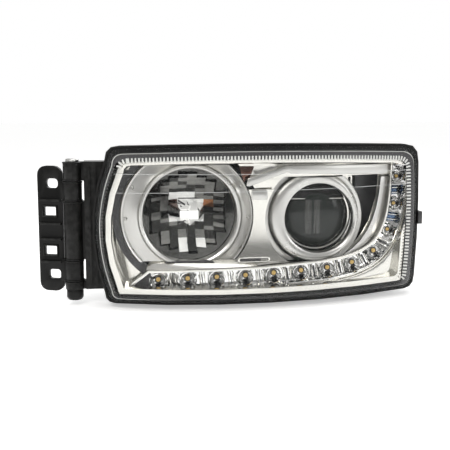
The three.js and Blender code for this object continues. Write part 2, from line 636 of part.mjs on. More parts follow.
add("drl_driver", "satin", drlDriver());
add("connector_socket", "black", connectorSocket());
add("breather_left", "rubber", breather(-104, 50));
add("breather_right", "rubber", breather(196, 56));
add("hinge_pin", "steel", hingePin());
add("hinge_pin_nut", "black", pinNut());

const bracket = new THREE.Group();
bracket.position.set(HINGE.x, HINGE.y, 0);
bracket.rotation.z = THREE.MathUtils.degToRad(HINGE.lean);
lamp.add(bracket);
add("hinge_bracket", "black", hingeBracket(), bracket);
add("hinge_bush_upper", "nylon", hingeBush(...LEAF_KNUCKLES[0]), bracket);
add("hinge_bush_lower", "nylon", hingeBush(...LEAF_KNUCKLES[1]), bracket);

const headlamp = new THREE.Group();
headlamp.add(lamp);
export default headlamp;
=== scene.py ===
# %% [markdown]
# # A hinged heavy-vehicle headlamp
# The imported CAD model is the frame: it gives every place, every size and every joint.
# This script gives each piece its finish, models the show pieces again with softer edges and
# finer detail, and lights them. Everything is in metres, +Z up, with the clear lens towards -Y.

# %%
# Load the frame
import json
import math
import random

import bmesh
import bpy
from mathutils import Matrix, Vector


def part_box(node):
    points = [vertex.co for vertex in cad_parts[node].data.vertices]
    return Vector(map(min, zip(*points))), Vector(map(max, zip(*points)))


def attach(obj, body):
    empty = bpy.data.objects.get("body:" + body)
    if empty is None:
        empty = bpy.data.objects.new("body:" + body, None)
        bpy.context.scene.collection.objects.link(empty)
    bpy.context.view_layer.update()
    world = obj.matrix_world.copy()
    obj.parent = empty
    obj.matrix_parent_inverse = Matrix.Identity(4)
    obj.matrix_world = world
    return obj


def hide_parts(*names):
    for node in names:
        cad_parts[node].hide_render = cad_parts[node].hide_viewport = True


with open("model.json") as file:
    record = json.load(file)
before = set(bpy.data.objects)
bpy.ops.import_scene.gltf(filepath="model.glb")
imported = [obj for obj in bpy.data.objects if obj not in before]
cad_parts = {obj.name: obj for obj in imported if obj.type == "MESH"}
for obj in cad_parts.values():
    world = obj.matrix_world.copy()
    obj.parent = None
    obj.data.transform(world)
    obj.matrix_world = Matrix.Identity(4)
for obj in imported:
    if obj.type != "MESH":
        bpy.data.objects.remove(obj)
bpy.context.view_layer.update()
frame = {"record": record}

slots = {row["node"]: row["material_slot"] for row in frame["record"]["subparts"]}
body_of_node = {
    node: body
    for body, nodes in frame["record"]["behaviour"]["bodies"].items()
    for node in nodes
}

# %% [markdown]
# ## The lamp's own sizes
# A headlamp is laid out on its swept front: every moulding behind the lens keeps its distance from
# that curve. The same curve is written here once, so that new pieces lie where the old ones do.
# The centres of the two beams are read from the frame.

# %%
# Driving dimensions and the swept face
MM = 0.001
FACE_Y = -0.082  # the foremost line of the swept face
NOSE_X, SWEEP_RUN, SWEEP_DEPTH = -0.022, 0.170, 0.026
WRAP_X, WRAP_RUN, WRAP_DEPTH = -0.152, 0.070, 0.014
MID = Vector((0.042, 0.082, -0.118))  # the lamp's face coordinates, seen from the part's origin
HIGH_X, HIGH_Z, LOW_X, LOW_Z = -43, 5.5, 134, 0  # the beams' centres in face millimetres
GAP_X = HIGH_X - 4  # the high beam's ring is centred a little to the left


def sweep(x):
    """How far the face has fallen back at x."""
    wrap = max(0.0, WRAP_X - x) / WRAP_RUN
    return SWEEP_DEPTH * ((x - NOSE_X) / SWEEP_RUN) ** 2 + WRAP_DEPTH * wrap**2


def spot(x, y, z):
    """A place given in millimetres in the lamp's face coordinates."""
    return Vector((x, y, z)) * MM - MID


def middle(node):
    low, high = (Vector(corner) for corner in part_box(node))
    return (low + high) / 2


HIGH = middle("high_beam_reflector")
LOW = middle("projector_lens")
RING = Vector((middle("projector_trim_ring").x, 0, LOW.z))
LAMP_BODY = "lamp_body"
AIMED = "aimed_lamps"
print("high beam", HIGH, "low beam", LOW)

# %% [markdown]
# ## Shader groups
# Moulded and metallised parts share a few effects: a fine grain, slow blotches from the moulding,
# wear along proud edges, a little dust on what faces up, and the drawn lines of brushed metal.
# Each effect is one group with named sockets, so that every material can set its own amount.


# %%
# Node groups
def new_group(name, inputs, outputs):
    tree = bpy.data.node_groups.new(name, "ShaderNodeTree")
    for label, value in inputs.items():
        socket = tree.interface.new_socket(label, in_out="INPUT", socket_type="NodeSocketFloat")
        socket.default_value = value
    for label in outputs:
        tree.interface.new_socket(label, in_out="OUTPUT", socket_type="NodeSocketFloat")
    start = tree.nodes.new("NodeGroupInput")
    end = tree.nodes.new("NodeGroupOutput")
    return tree, start.outputs, end.inputs


def node(tree, kind, inputs=None, **settings):
    """A new node with its settings and its inputs, given as values or as sockets to link."""
    made = tree.nodes.new(kind)
    for key, value in settings.items():
        setattr(made, key, value)
    for key, value in (inputs or {}).items():
        if isinstance(value, bpy.types.NodeSocket):
            tree.links.new(value, made.inputs[key])
        else:
            made.inputs[key].default_value = value
    return made


def maths(tree, operation, a, b, clamp=False):
    made = node(tree, "ShaderNodeMath", {0: a, 1: b}, operation=operation, use_clamp=clamp)
    return made.outputs[0]


def ramp(tree, value, low, high, to_low=0.0, to_high=1.0):
    made = node(tree, "ShaderNodeMapRange", {
        "Value": value, "From Min": low, "From Max": high, "To Min": to_low, "To Max": to_high})
    return made.outputs[0]


def noise(tree, where, scale, detail=3.0):
    made = node(tree, "ShaderNodeTexNoise", {"Vector": where, "Scale": scale, "Detail": detail})
    return made.outputs["Fac"]


def grain_group():
    sizes = {"Scale": 900.0, "Blotch scale": 25.0}
    tree, given, out = new_group("Moulded grain", sizes, ["Height", "Blotch"])
    where = node(tree, "ShaderNodeTexCoord").outputs["Object"]
    fine = noise(tree, where, given["Scale"], 2.0)
    cells = node(tree, "ShaderNodeTexVoronoi", {"Vector": where, "Scale": given["Scale"]})
    height = maths(tree, "ADD", fine, maths(tree, "MULTIPLY", cells.outputs["Distance"], 0.5))
    tree.links.new(height, out["Height"])
    tree.links.new(ramp(tree, noise(tree, where, given["Blotch scale"], 4.0), 0.3, 0.7), out["Blotch"])
    return tree


def wear_group():
    tree, given, out = new_group("Edge wear", {"Amount": 0.5, "Scale": 120.0}, ["Mask"])
    where = node(tree, "ShaderNodeTexCoord").outputs["Object"]
    edge = ramp(tree, node(tree, "ShaderNodeNewGeometry").outputs["Pointiness"], 0.51, 0.58)
    broken = ramp(tree, noise(tree, where, given["Scale"], 5.0), 0.35, 0.65)
    both = maths(tree, "MULTIPLY", edge, broken)
    tree.links.new(maths(tree, "MULTIPLY", both, given["Amount"], clamp=True), out["Mask"])
    return tree


def dust_group():
    tree, given, out = new_group("Settled dust", {"Amount": 0.2, "Scale": 60.0}, ["Mask"])
    where = node(tree, "ShaderNodeTexCoord").outputs["Object"]
    normal = node(tree, "ShaderNodeNewGeometry").outputs["Normal"]
    up = node(tree, "ShaderNodeSeparateXYZ", {"Vector": normal}).outputs["Z"]
    flat = ramp(tree, up, 0.4, 1.0)
    patches = ramp(tree, noise(tree, where, given["Scale"], 6.0), 0.35, 0.75)
    both = maths(tree, "MULTIPLY", flat, patches)
    tree.links.new(maths(tree, "MULTIPLY", both, given["Amount"], clamp=True), out["Mask"])
    return tree


def brushed_group():
    tree, given, out = new_group("Drawn lines", {"Scale": 300.0, "Stretch": 0.04}, ["Streak"])
    where = node(tree, "ShaderNodeTexCoord").outputs["Object"]
    squeeze = node(tree, "ShaderNodeCombineXYZ", {"X": given["Stretch"], "Y": 1.0, "Z": 1.0})
    drawn = node(tree, "ShaderNodeVectorMath", {0: where, 1: squeeze.outputs[0]}, operation="MULTIPLY")
    tree.links.new(noise(tree, drawn.outputs[0], given["Scale"], 3.0), out["Streak"])
    return tree


GRAIN, WEAR, DUST, BRUSHED = grain_group(), wear_group(), dust_group(), brushed_group()
print("groups", [tree.name for tree in bpy.data.node_groups])

# %% [markdown]
# ## Materials
# The lamp is mostly two finishes: black glass-filled plastic with a fine spark-eroded grain, and
# vacuum-metallised plastic, bright on the rings and satin on the broad faces. The rest is clear
# polycarbonate, glass, rubber, zinc-plated steel, natural nylon and cast aluminium. One function
# mixes colour, blotches, wear and dust the same way for all of them.


# %%
# Materials
def use(tree, group, **inputs):
    made = tree.nodes.new("ShaderNodeGroup")
    made.node_tree = group
    for key, value in inputs.items():
        made.inputs[key.replace("_", " ")].default_value = value
    return made.outputs


def blend(tree, share, first, second):
    made = node(tree, "ShaderNodeMix", {"Factor": share}, data_type="RGBA")
    for index, value in ((6, first), (7, second)):
        if isinstance(value, bpy.types.NodeSocket):
            tree.links.new(value, made.inputs[index])
        else:
            made.inputs[index].default_value = (*value, 1.0)
    return made.outputs[2]


def finish(name, colour, roughness, metallic=0.0, shade=0.75, grain=900.0, depth=0.00004, bump=0.25,
           blotch=25.0, spread=0.08, worn=None, wear=0.0, dust=0.1, streak=0.0, coat=0.0, ior=1.5,
           shine=0.5):
    """A Principled material: its colour drifts to a darker shade, edges wear and dust settles."""
    material = bpy.data.materials.new(name)
    material.use_nodes = True
    tree = material.node_tree
    shader = tree.nodes["Principled BSDF"]
    shader.inputs["Metallic"].default_value = metallic
    shader.inputs["Coat Weight"].default_value = coat
    shader.inputs["IOR"].default_value = ior
    shader.inputs["Specular IOR Level"].default_value = shine
    surface = use(tree, GRAIN, Scale=grain, Blotch_scale=blotch)
    darker = tuple(channel * shade for channel in colour)
    base = blend(tree, surface["Blotch"], colour, darker)
    rough = ramp(tree, surface["Blotch"], 0.0, 1.0, roughness - spread / 2, roughness + spread / 2)
    if wear:
        mask = use(tree, WEAR, Amount=wear)["Mask"]
        base = blend(tree, mask, base, worn or colour)
    settled = use(tree, DUST, Amount=dust)["Mask"]
    base = blend(tree, settled, base, (0.45, 0.43, 0.40))
    rough = maths(tree, "ADD", rough, maths(tree, "MULTIPLY", settled, 0.4), clamp=True)
    height = surface["Height"]
    if streak:
        lines = use(tree, BRUSHED)["Streak"]
        rough = maths(tree, "ADD", rough, maths(tree, "MULTIPLY", lines, streak), clamp=True)
        height = maths(tree, "ADD", height, lines)
    raised = node(tree, "ShaderNodeBump", {"Strength": bump, "Distance": depth, "Height": height})
    tree.links.new(base, shader.inputs["Base Color"])
    tree.links.new(rough, shader.inputs["Roughness"])
    tree.links.new(raised.outputs[0], shader.inputs["Normal"])
    return material


def clear(name, colour, seen, edge, roughness=0.04, power=2.0):
    """A see-through finish: almost nothing face on, and more of it where it is seen edge on."""
    material = finish(name, colour, roughness, spread=0.02, bump=0.05, shade=0.97, dust=0.02)
    tree = material.node_tree
    shader = tree.nodes["Principled BSDF"]
    facing = node(tree, "ShaderNodeLayerWeight", {"Blend": 0.5}).outputs["Facing"]
    curve = maths(tree, "POWER", facing, power)
    tree.links.new(ramp(tree, curve, 0.0, 1.0, seen, edge), shader.inputs["Alpha"])
    return material


FINISHES = {
    "black_plastic": finish("black plastic", (0.0045, 0.0045, 0.0042), 0.36, grain=1400.0, bump=0.35,
                            wear=0.35, worn=(0.05, 0.05, 0.048), dust=0.012, shade=0.7, shine=0.20),
    "clear_lens": clear("clear polycarbonate", (0.70, 0.72, 0.72), 0.010, 0.12, power=4.0),
    "chrome": finish("bright metallising", (0.67, 0.66, 0.62), 0.14, 1.0, shade=0.93, blotch=14.0,
                     spread=0.07, bump=0.06, dust=0.05),
    "satin_chrome": finish("satin metallising", (0.55, 0.545, 0.525), 0.30, 1.0, shade=0.9, blotch=18.0,
                           grain=2200.0, bump=0.12, dust=0.06),
    "mirror_coat": finish("mirror coat", (0.80, 0.80, 0.79), 0.07, 1.0, shade=0.94, spread=0.04,
                          bump=0.04, dust=0.0),
    "charcoal_plastic": finish("charcoal plastic", (0.045, 0.044, 0.046), 0.38, shade=0.8, dust=0.06),
    "optic_glass": clear("optic glass", (0.9, 0.93, 0.94), 0.10, 0.8, 0.02),
    "rubber": finish("rubber", (0.016, 0.016, 0.016), 0.78, grain=600.0, bump=0.3, dust=0.2),
    "steel": finish("zinc plated steel", (0.60, 0.60, 0.585), 0.30, 1.0, shade=0.85, streak=0.1, bump=0.1),
    "circuit_board": finish("solder mask", (0.03, 0.12, 0.07), 0.42, shade=0.8, blotch=90.0),
    "nylon": finish("natural nylon", (0.72, 0.70, 0.63), 0.48, shade=0.9, bump=0.15),
    "cast_aluminium": finish("cast aluminium", (0.36, 0.36, 0.365), 0.46, 1.0, shade=0.85, grain=500.0,
                             bump=0.5, worn=(0.8, 0.8, 0.8), wear=0.4, dust=0.12),
}
EXTRA = {
    # Painted shade: the projector glass is a near black finish for the dark inside seen through it.
    "lens_painted_shade": finish("projector glass with painted shade", (0.018, 0.021, 0.019), 0.06, spread=0.02, bump=0.0,
                         shade=0.7, dust=0.0, shine=0.3),
    # Painted shade: the reflector bowl is a dark grey mirror for the shade deep inside the lamp.
    "bowl_painted_shade": finish("reflector in shade", (0.20, 0.20, 0.195), 0.14, 1.0, shade=0.6, blotch=40.0,
                        spread=0.1, bump=0.05, dust=0.0),
    # Painted reflections: dark, mid and light copies of one facet finish, for facets that mirror the dark
    # inside of the lamp or the bright room.
    "facet_painted_dark": finish("facet, painted dark reflection", (0.085, 0.085, 0.083), 0.12, 1.0, shade=0.6, dust=0.0, bump=0.05),
    "facet_painted_mid": finish("facet, painted mid reflection", (0.40, 0.40, 0.385), 0.16, 0.6, shade=0.6, dust=0.0, bump=0.05),
    "facet_painted_highlight": finish("facet, painted highlight", (0.90, 0.90, 0.88), 0.22, 0.25, shade=0.8, dust=0.0, bump=0.05),
    "ochre": finish("phosphor", (0.62, 0.42, 0.13), 0.45, shade=0.8, blotch=400.0, dust=0.0),
    # Painted reflection: a grey see-through finish for the bulb's two images on the projector glass.
    "painted_lens_reflection": clear("grey lens reflection", (0.25, 0.25, 0.24), 0.20, 0.25, 0.3, 1.0),
    # Painted reflections: amber and dull red metal for coloured glints among the facets and on the bar's
    # corner plate.
    "amber": finish("amber reflection", (0.60, 0.27, 0.13), 0.22, 1.0, shade=0.5, blotch=70.0, dust=0.0),
    "painted_red_reflection": finish("red reflection", (0.13, 0.07, 0.055), 0.2, 1.0, shade=0.6, dust=0.0),
    "blue_tint": finish("blue tinted mirror", (0.10, 0.15, 0.24), 0.16, 1.0, shade=0.5, dust=0.0),
    "violet_tint": finish("violet tinted mirror", (0.62, 0.56, 0.64), 0.14, 1.0, shade=0.9, dust=0.0),
    # Painted highlight and painted shade: near white see-through flutes and rim strip where the lens rim
    # catches the light, dark grey flutes where it is in shade.
    "flute": clear("fluted lens edge", (0.90, 0.91, 0.88), 0.50, 0.95, 0.18, 1.2),
    "flute_painted_shade": finish("fluted lens edge in shade", (0.22, 0.22, 0.21), 0.22, shade=0.5, dust=0.0),
    # Painted highlight: pale see-through lines on the clear lens along its mould lines.
    "mould_line_painted_highlight": clear("painted highlight on the parting lines", (0.86, 0.87, 0.87), 0.5, 0.7, 0.2, 1.0),
}
# Painted glow: the light facets glow a little to brighten their painted highlight; the bulb shield cap
# shares it.
painted_emission = EXTRA["facet_painted_highlight"].node_tree.nodes["Principled BSDF"].inputs
painted_emission["Emission Color"].default_value = (1.0, 1.0, 0.97, 1.0)
painted_emission["Emission Strength"].default_value = 0.28
print("materials", len(FINISHES) + len(EXTRA))

# %% [markdown]
# ## Ways of working
# Most pieces start in one of three ways: a CAD piece copied, merged and given soft moulded edges;
# a ring of edges pulled out and scaled row by row, as on a lathe; or a flat outline given a
# thickness and laid back on the swept face. Each is written once here.


# %%
# Modelling helpers
def alone(obj):
    """Makes obj the only selected object, and the active one."""
    bpy.ops.object.select_all(action="DESELECT")
    obj.select_set(True)
    bpy.context.view_layer.objects.active = obj


def modify(obj, kind, **settings):
    alone(obj)
    modifier = obj.modifiers.new(kind.title(), kind)
    for key, value in settings.items():
        setattr(modifier, key, value)
    bpy.ops.object.modifier_apply(modifier=modifier.name)


def soften(obj, width, angle=30.0, segments=2):
    modify(obj, "BEVEL", width=width, segments=segments, limit_method="ANGLE",
           angle_limit=math.radians(angle), use_clamp_overlap=True)


def hand_over(obj, name, body, material=None, stands_for=(), smooth=35.0):
    """Names a finished piece, gives it its finish, and ties it to its body."""
    alone(obj)
    bpy.ops.object.transform_apply(location=True, rotation=True, scale=True)
    bpy.ops.object.shade_smooth_by_angle(angle=math.radians(smooth))
    obj.name = obj.data.name = name
    if material:
        obj.data.materials.clear()
        obj.data.materials.append(material)
    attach(obj, body)
    if stands_for:
        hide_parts(*stands_for)
    print(name, "on", body, len(obj.data.polygons), "faces")
    return obj


def merged_copy(node_name):
    """A free copy of a CAD piece, at the origin, with its loose triangles joined up."""
    obj = twin(bpy.data.objects[node_name])
    alone(obj)
    bpy.ops.object.transform_apply(location=True, rotation=True, scale=True)
    bpy.ops.object.mode_set(mode="EDIT")
    bpy.ops.mesh.select_all(action="SELECT")
    bpy.ops.mesh.remove_doubles(threshold=2e-6)
    bpy.ops.mesh.dissolve_limited(angle_limit=math.radians(0.6))
    bpy.ops.object.mode_set(mode="OBJECT")
    return obj


def refined(node_name, name, bevel, material=None, segments=2, smooth=35.0):
    """The CAD piece again with soft edges, in place of the original."""
    obj = merged_copy(node_name)
    soften(obj, bevel, segments=segments)
    slot = slots[node_name]
    return hand_over(obj, name, body_of_node[node_name], material or FINISHES[slot],
                     (node_name,), smooth)


def lathe(rows, centre, steps=96, closed=False):
    """A ring pulled out row by row. A row is radius and y, with an optional shift of its centre."""
    rows = [(*row, 0.0, 0.0)[:4] for row in rows]
    radius, y, dx, dz = rows[0]
    bpy.ops.object.select_all(action="DESELECT")
    bpy.ops.mesh.primitive_circle_add(
        vertices=steps, radius=radius, location=(centre.x + dx, y, centre.z + dz),
        rotation=(math.pi / 2, 0, 0))
    obj = bpy.context.object
    bpy.ops.object.transform_apply(location=True, rotation=True, scale=True)
    bpy.ops.object.mode_set(mode="EDIT")
    bpy.ops.mesh.select_all(action="SELECT")
    for (r0, y0, x0, z0), (r1, y1, x1, z1) in zip(rows, rows[1:]):
        bpy.ops.mesh.extrude_edges_move(
            TRANSFORM_OT_translate={"value": (x1 - x0, y1 - y0, z1 - z0)})
        bpy.ops.transform.resize(
            value=(r1 / r0, 1.0, r1 / r0), center_override=(centre.x + x1, y1, centre.z + z1))
    bpy.ops.mesh.select_all(action="SELECT")
    bpy.ops.mesh.remove_doubles(threshold=2e-6)
    if not closed:
        bpy.ops.mesh.fill_holes(sides=0)
    bpy.ops.mesh.select_all(action="SELECT")
    bpy.ops.mesh.normals_make_consistent(inside=False)
    bpy.ops.object.mode_set(mode="OBJECT")
    return obj


def flat_outlines(outlines, near, far):
    """Flat outlines in face millimetres, given a thickness: a second outline inside is a hole."""
    curve = bpy.data.curves.new("outline", "CURVE")
    curve.dimensions = "2D"
    curve.fill_mode = "BOTH"
    curve.extrude = (far - near) * MM / 2
    for points in outlines:
        spline = curve.splines.new("POLY")
        spline.points.add(len(points) - 1)
        for point, (x, z) in zip(spline.points, points):
            place = spot(x, 0, z)
            point.co = (place.x, place.z, 0, 1)
        spline.use_cyclic_u = True
    obj = bpy.data.objects.new("outline", curve)
    bpy.context.scene.collection.objects.link(obj)
    obj.rotation_euler = (math.pi / 2, 0, 0)
    obj.location = (0, FACE_Y + (near + far) * MM / 2, 0)
    alone(obj)
    bpy.ops.object.convert(target="MESH")
    bpy.ops.object.transform_apply(location=True, rotation=True, scale=True)
    bpy.ops.object.mode_set(mode="EDIT")
    bpy.ops.mesh.select_all(action="SELECT")
    bpy.ops.mesh.remove_doubles(threshold=2e-6)
    bpy.ops.mesh.dissolve_limited(angle_limit=math.radians(0.5))
    bpy.ops.mesh.select_all(action="SELECT")
    bpy.ops.mesh.normals_make_consistent(inside=False)
    bpy.ops.object.mode_set(mode="OBJECT")
    return obj


def lay_back(obj, step=0.012):
    """Slices obj into upright strips and lets each slice follow the swept face."""
    alone(obj)
    xs = [corner[0] for corner in obj.bound_box]
    bpy.ops.object.mode_set(mode="EDIT")
    for index in range(1, int((max(xs) - min(xs)) / step) + 1):
        bpy.ops.mesh.select_all(action="SELECT")
        bpy.ops.mesh.bisect(plane_co=(min(xs) + index * step, 0, 0), plane_no=(1, 0, 0))
    bpy.ops.object.mode_set(mode="OBJECT")
    for vertex in obj.data.vertices:
        vertex.co.y += sweep(vertex.co.x)
    return obj


def plate(outlines, near, far, bevel=0.5, step=0.012):
    obj = lay_back(flat_outlines(outlines, near, far), step)
    soften(obj, bevel * MM)
    return obj


def box(low, high, bevel=0.5, segments=2):
    """A box between two corners in face millimetres, with soft edges."""
    a, b = spot(*low), spot(*high)
    bpy.ops.object.select_all(action="DESELECT")
    bpy.ops.mesh.primitive_cube_add(size=1, location=(a + b) / 2, scale=b - a)
    obj = bpy.context.object
    bpy.ops.object.transform_apply(location=True, rotation=True, scale=True)
    if bevel:
        soften(obj, bevel * MM, segments=segments)
    return obj


def twin(obj):
    """A copy of obj with a mesh of its own."""
    copy = bpy.data.objects.new(obj.name, obj.data.copy())
    copy.matrix_world = obj.matrix_world
    bpy.context.scene.collection.objects.link(copy)
    return copy


def drop_onto(obj, target, both_ways=False):
    """Moves each corner of obj straight back along Y until it lies on target."""
    modify(obj, "SHRINKWRAP", target=target, wrap_method="PROJECT", use_project_y=True,
           use_project_x=False, use_project_z=False, use_positive_direction=True,
           use_negative_direction=both_ways, offset=0.0)


def flat_grid(columns, rows, centre, width, height):
    """An upright grid that faces -Y."""
    bpy.ops.object.select_all(action="DESELECT")
    bpy.ops.mesh.primitive_grid_add(
        x_subdivisions=columns, y_subdivisions=rows, size=1, location=centre,
        rotation=(math.pi / 2, 0, 0))
    obj = bpy.context.object
    obj.scale = (width, height, 1)
    bpy.ops.object.transform_apply(location=True, rotation=True, scale=True)
    return obj


def cut_away(obj, tool):
    modify(obj, "BOOLEAN", operation="DIFFERENCE", object=tool, solver="EXACT")
    bpy.data.objects.remove(tool, do_unlink=True)


def join_all(objects):
    alone(objects[0])
    for obj in objects:
        obj.select_set(True)
    if len(objects) > 1:
        bpy.ops.object.join()
    return bpy.context.view_layer.objects.active


def bezier(p0, p1, p2, p3, steps):
    for index in range(steps):
        t = index / steps
        s = 1 - t
        yield tuple(
            s**3 * a + 3 * s * s * t * b + 3 * s * t * t * c + t**3 * d
            for a, b, c, d in zip(p0, p1, p2, p3))


def arc(cx, cz, radius, start, end, steps):
    for index in range(steps + 1):
        angle = math.radians(start + (end - start) * index / steps)
        yield (cx + radius * math.cos(angle), cz + radius * math.sin(angle))


def rounded(left, bottom, right, top, radius, steps=5):
    corners = [(right - radius, bottom + radius, -90), (right - radius, top - radius, 0),
               (left + radius, top - radius, 90), (left + radius, bottom + radius, 180)]
    return [point for x, z, start in corners for point in arc(x, z, radius, start, start + 90, steps)]


def strip_outline(margin=0.0):
    """The daytime strip seen from in front; a margin narrows it."""
    m = margin
    top = [(-131 + 3 * m, -93.5 + m), (-99 + m / 2, -67.5 - m), (50, -64 - m)]
    inner = bezier((105, -61 - m), (212 + m, -57 - m), (242 + m, -50 - m), (242.5 + m, 69 - m), 22)
    outer = bezier((270 - m, 69 - m), (270 - m, -68 + m), (222 - m, -85 + m), (105, -87.5 + m), 22)
    end = [(105, -87.5 + m), (-84, -94 + m), (-131 + 3 * m, -96.5 + m)]
    return [*top, *inner, (242.5 + m, 69 - m), *outer, *end]


print("helpers ready")

# %% [markdown]
# ## Housing, seals and everything at the back
# These are injection-moulded or pressed pieces whose CAD shape is already right. On the real lamp
# no moulded edge is sharp: a small radius runs along each one and catches the light, so each piece
# is copied, merged and bevelled by about the radius its wall would have.

# %%
# Refined CAD pieces
SOFT_EDGES = {  # new name and edge radius in millimetres
    "housing": ("housing_shell", 1.2),
    "lens_seal": ("lens_gasket", 0.3),
    "side_shroud": ("side_shroud_panel", 0.6),
    "drl_circuit_board": ("daytime_board", 0.3),
    "pivot_bracket": ("gimbal_bracket", 0.7),
    "yaw_pin": ("gimbal_upright_pin", 0.4),
    "gimbal_block": ("gimbal_cube", 0.8),
    "pitch_pin_left": ("gimbal_cross_pin_left", 0.4),
    "pitch_pin_right": ("gimbal_cross_pin_right", 0.4),
    "aim_frame": ("aiming_frame", 0.8),
    "high_beam_bulb": ("high_beam_lamp", 0.5),
    "lens_holder": ("projector_lens_holder", 0.6),
    "projector_reflector": ("projector_bowl", 0.4),
    "cutoff_shield": ("beam_cutoff_plate", 0.3),
    "low_beam_bulb": ("low_beam_lamp", 0.5),
    "high_bulb_clip": ("high_bulb_wire_clip", 0.6),
    "low_bulb_clip": ("low_bulb_wire_clip", 0.6),
    "levelling_motor": ("levelling_motor_case", 1.0),
    "levelling_pushrod": ("levelling_ball_rod", 0.4),
    "yaw_adjuster_stud": ("aiming_ball_stud", 0.4),
    "yaw_adjuster_knob": ("aiming_knob", 0.8),
    "high_cap_seal": ("high_cap_gasket", 0.5),
    "high_cap": ("high_service_cap", 1.4),
    "low_cap_seal": ("low_cap_gasket", 0.5),
    "low_cap": ("low_service_cap", 1.4),
    "drl_driver": ("daytime_driver_heatsink", 0.7),
    "connector_socket": ("wiring_socket", 0.6),
    "breather_left": ("breather_cap_left", 0.8),
    "breather_right": ("breather_cap_right", 0.8),
    "hinge_pin": ("hinge_rod", 0.6),
    "hinge_pin_nut": ("hinge_rod_nut", 0.8),
    "hinge_bracket": ("hinge_leaf", 1.0),
    "hinge_bush_upper": ("hinge_bushing_upper", 0.4),
    "hinge_bush_lower": ("hinge_bushing_lower", 0.4),
}
for node_name, (new_name, edge) in SOFT_EDGES.items():
    refined(node_name, new_name, edge * MM)
refined("lens_clip", "lens_spring_clip", 0.4 * MM, FINISHES["charcoal_plastic"])
print("refined", len(SOFT_EDGES) + 1, "pieces")

# %% [markdown]
# ## Hinge details
# The leaf's two windows have raised collars, and a thin band runs round each end of every knuckle.
# A collar is four soft bars laid in the leaf's own leaning frame; a band is a disc bored out to the
# size of the barrel.

# %%
# Collars round the windows of the leaf
LEAN = math.radians(-20)
HINGE = Vector((-0.239, -0.014, 0.118))
LEAF_FRAME = Matrix.Translation(HINGE) @ Matrix.Rotation(LEAN, 4, "Z")
WINDOWS = ((-41, -24, 2.5, 14.5), (-41, -24, -51, -39))
LEAF_FACE, COLLAR_THICK = -3.6, 1.6  # a collar is bedded a little into the front of the leaf
COLLAR_IN, COLLAR_OUT = 0.6, 2.4  # how far the side bars stand off the window
COLLAR_ABOVE, COLLAR_TOP = 0.4, 2.2  # and the bars above and below it


def leaf_bar(left, right, low, high):
    """A soft bar on the front of the leaf, given in millimetres from the hinge pin."""
    bpy.ops.object.select_all(action="DESELECT")
    bpy.ops.mesh.primitive_cube_add(size=1, location=(0, 0, 0))
    obj = bpy.context.object
    obj.matrix_world = (
        LEAF_FRAME
        @ Matrix.Translation(Vector(((left + right) / 2, LEAF_FACE, (low + high) / 2)) * MM)
        @ Matrix.Diagonal(((right - left) * MM, COLLAR_THICK * MM, (high - low) * MM, 1)))
    bpy.ops.object.transform_apply(location=True, rotation=True, scale=True)
    soften(obj, 0.45 * MM)
    return obj


collars = []
for left, right, low, high in WINDOWS:
    outer_left, outer_right = left - COLLAR_OUT, right + COLLAR_OUT
    bottom, top = low - COLLAR_TOP, high + COLLAR_TOP
    collars += [leaf_bar(outer_left, outer_right, high + COLLAR_ABOVE, top),
                leaf_bar(outer_left, outer_right, bottom, low - COLLAR_ABOVE),
                leaf_bar(outer_left, left - COLLAR_IN, bottom, top),
                leaf_bar(right + COLLAR_IN, outer_right, bottom, top)]
hand_over(join_all(collars), "hinge_leaf_collars", "hinge_bracket",
          FINISHES["black_plastic"])

# %%
# Raised bands at the ends of the knuckles
BAND_RADIUS, BARREL_RADIUS, BAND_HEIGHT = 0.0132, 0.0120, 0.0019


def disc(radius, depth, place):
    bpy.ops.object.select_all(action="DESELECT")
    bpy.ops.mesh.primitive_cylinder_add(vertices=48, radius=radius, depth=depth, location=place)
    return bpy.context.object


def knuckle_band(height):
    """A thin collar round the hinge barrel, bored out where the knuckle fills it."""
    place = (HINGE.x, HINGE.y, HINGE.z + height * MM)
    obj = disc(BAND_RADIUS, BAND_HEIGHT, place)
    bpy.ops.object.transform_apply(location=True, rotation=True, scale=True)
    cut_away(obj, disc(BARREL_RADIUS, 0.01, place))
    soften(obj, 0.5 * MM)
    return obj


BANDS = (("housing", LAMP_BODY, (74.6, 51.4, 21.6, -55.6, -87.4)),
         ("leaf", "hinge_bracket", (48.6, 24.4, -58.4, -84.6)))
for label, body, heights in BANDS:
    bands = [knuckle_band(height) for height in heights]
    hand_over(join_all(bands), label + "_knuckle_bands", body,
              FINISHES["black_plastic"])

# %% [markdown]
# ## Grips, screws and stiffening ribs
# A service cap is turned with wet or gloved hands, so its rim is knurled. The levelling motor is
# held by four pan-head screws, and shallow ribs stiffen the flat back of the housing.

# %%
# Cap knurls
KNURLS, CAP_RADIUS = 28, 39.2
GRIP_NEAR, GRIP_FAR = 157, 168.6
for label, centre_x, centre_z in (("high", HIGH_X, HIGH_Z), ("low", LOW_X, LOW_Z)):
    first = box((centre_x - 1.1, GRIP_NEAR, centre_z + CAP_RADIUS - 0.8),
                (centre_x + 1.1, GRIP_FAR, centre_z + CAP_RADIUS + 0.7), 0.4)
    axis = spot(centre_x, 0, centre_z)
    knurls = []
    for index in range(KNURLS):
        copy = twin(first)
        turn = Matrix.Rotation(math.tau * index / KNURLS, 4, "Y")
        copy.matrix_world = (
            Matrix.Translation(axis) @ turn @ Matrix.Translation(-axis) @ first.matrix_world)
        knurls.append(copy)
    bpy.data.objects.remove(first, do_unlink=True)
    hand_over(join_all(knurls), label + "_cap_knurls", label + "_cap",
              FINISHES["black_plastic"])

